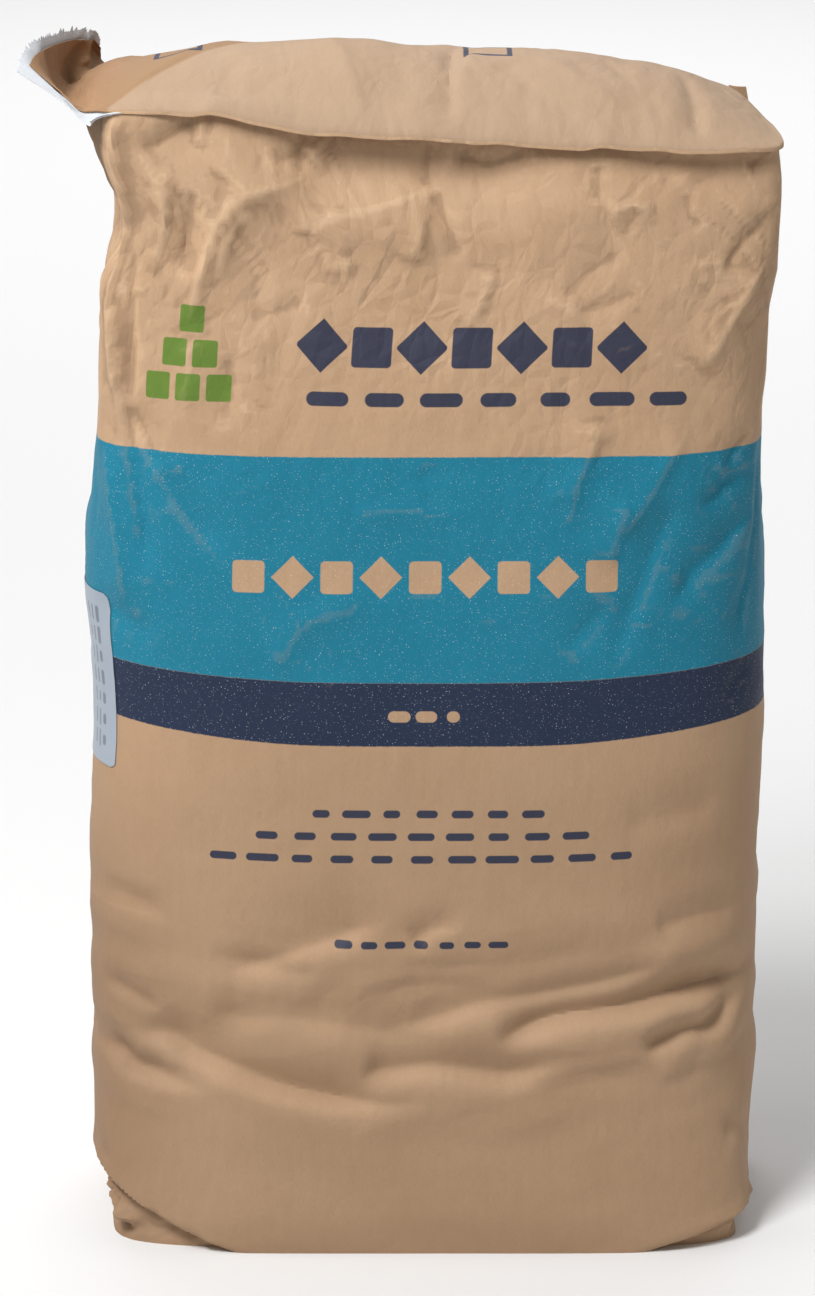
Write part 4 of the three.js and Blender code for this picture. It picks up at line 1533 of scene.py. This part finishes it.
def label_stock():
    """Satin white label with thin grey rules."""
    material, shader, wire = new_finish("label_stock", Specular_IOR_Level=0.5)
    uv = paper_uv(wire)
    u, v = in_mm(uv)
    marks = None
    for k, across in enumerate((32.0, 26.0, 20.0, 8.0, 2.0, -4.0, -20.0, -26.0)):
        row = rule_row(v, u, (0.0, across), 7, 1.0 if k else 1.8, 13.0, 5.0 * k)
        marks = row if marks is None else marks.most(row)
    tone = noise(wire, uv, 60, 2.0)
    ground = two_tone(tone, rgb(142, 152, 163), rgb(154, 163, 173))
    colour = ground.blend(rgb(96, 104, 118), marks * 0.85)
    feed(shader, Base_Color=colour, Roughness=0.45 + (tone - 0.5) * 0.1)
    return material


bleached = white_paper()
sleeve.data.materials.append(plain_kraft())
lining.data.materials.append(bleached)
corner_tab.data.materials.append(sack.data.materials[0])
label.data.materials.append(label_stock())
print("finishes:", [m.name for m in bpy.data.materials if m.users])

# %% [markdown]
# ## Growing the torn edge
#
# The tree is run now, as its slivers take the white ply's finish. Its inputs are set by the sockets'
# identifiers before the object is first evaluated. The result is copied to a plain mesh, and the modifier
# goes.

# %% Grow the torn edge


def grown(made, tree, values):
    """Turn an object into the plain mesh that a tree makes of it."""
    modifier = made.modifiers.new("shape", "NODES")
    modifier.node_group = tree
    for identifier, value in values.items():
        modifier[identifier] = value
    seen = made.evaluated_get(bpy.context.evaluated_depsgraph_get())
    plain = bpy.data.meshes.new_from_object(seen)
    made.modifiers.remove(modifier)
    made.data = plain


fringe_values = {fringe_names[name]: value for name, (_, value) in FRINGE_INPUTS.items()}
fringe_values[fringe_names["Material"]] = bleached
grown(mouth, torn_edge, fringe_values)
print("torn edge:", triangle_count(mouth), "triangles")

# %% [markdown]
# ## Floor and light
#
# The sack stands on a plain pale floor, as in a small product studio. A soft lamp above and to the left
# of the camera does most of the work, two weak ones keep the narrow sides from going dark, and a large
# one behind whitens the floor's far end. A high sun with a very soft edge gives the folds their shape,
# and a white surround fills the shadows.

# %% The floor
FLOOR = 20.0  # half of the floor's width in metres
floor_mesh = bpy.data.meshes.new("floor")
floor_corners = [(x * FLOOR, y * FLOOR, 0) for x, y in ((-1, -1), (1, -1), (1, 1), (-1, 1))]
floor_mesh.from_pydata(floor_corners, [], [(0, 1, 2, 3)])
floor = placed("floor", floor_mesh)
floor_finish, _, _ = new_finish("floor", Base_Color=(0.72, 0.72, 0.72, 1), Roughness=0.9)
floor_mesh.materials.append(floor_finish)
print("floor:", 2 * FLOOR, "m wide")

# %% Lamps and surround


def soft_lamp(name, place, aim, size, power):
    """A square lamp of a size in metres and a power in watts, turned towards a point."""
    data = bpy.data.lights.new(name, "AREA")
    data.shape = "SQUARE"
    data.size = size
    data.energy = power
    lamp = placed(name, data)
    lamp.location = place
    away = np.array(place) - np.array(aim)
    flat = math.hypot(away[0], away[1])
    lamp.rotation_euler = (math.atan2(flat, away[2]), 0, math.atan2(away[0], -away[1]))


soft_lamp("key", (-0.72, -1.05, 1.85), (0, 0, 0.75), 0.6, 24)
soft_lamp("left", (-1.3, -0.2, 1.5), (-0.2, 0, 0.5), 0.5, 6)
soft_lamp("right", (1.3, -0.3, 1.3), (0.2, 0, 0.5), 0.5, 1.5)
soft_lamp("back", (0.0, 3.8, 3.0), (0, 3.3, 0), 5.0, 122)
sun_data = bpy.data.lights.new("high_sun", "SUN")
sun_data.energy = 1.35
sun_data.angle = math.radians(16)
sun = placed("high_sun", sun_data)
sun.rotation_euler = (math.radians(24), math.radians(-22), 0)
world = bpy.data.worlds.new("surround")
world.use_nodes = True
world.node_tree.nodes["Background"].inputs["Color"].default_value = (1, 1, 1, 1)
world.node_tree.nodes["Background"].inputs["Strength"].default_value = 0.27
bpy.context.scene.world = world
bpy.context.scene.view_settings.view_transform = "Standard"
print("lamps:", [light.name for light in bpy.data.lights])

# %% [markdown]
# ## Riding on the body
#
# Each piece rides on the sack's one body, and the four in the list stand for their solids.

# %% Ride and replace
DRESSED = [
    # piece, the solid that it stands for, its slot in the record
    (sack, "sack_body", "kraft_paper"),
    (sleeve, "valve_sleeve", "sleeve_kraft"),
    (lining, "valve_lining", "white_ply"),
    (label, "side_label", "label_stock"),
]
for piece, node, slot in DRESSED:
    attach(piece, "root")
    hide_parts(node)
for piece, slot in ((mouth, "white_ply"), (corner_tab, "kraft_paper")):
    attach(piece, "root")
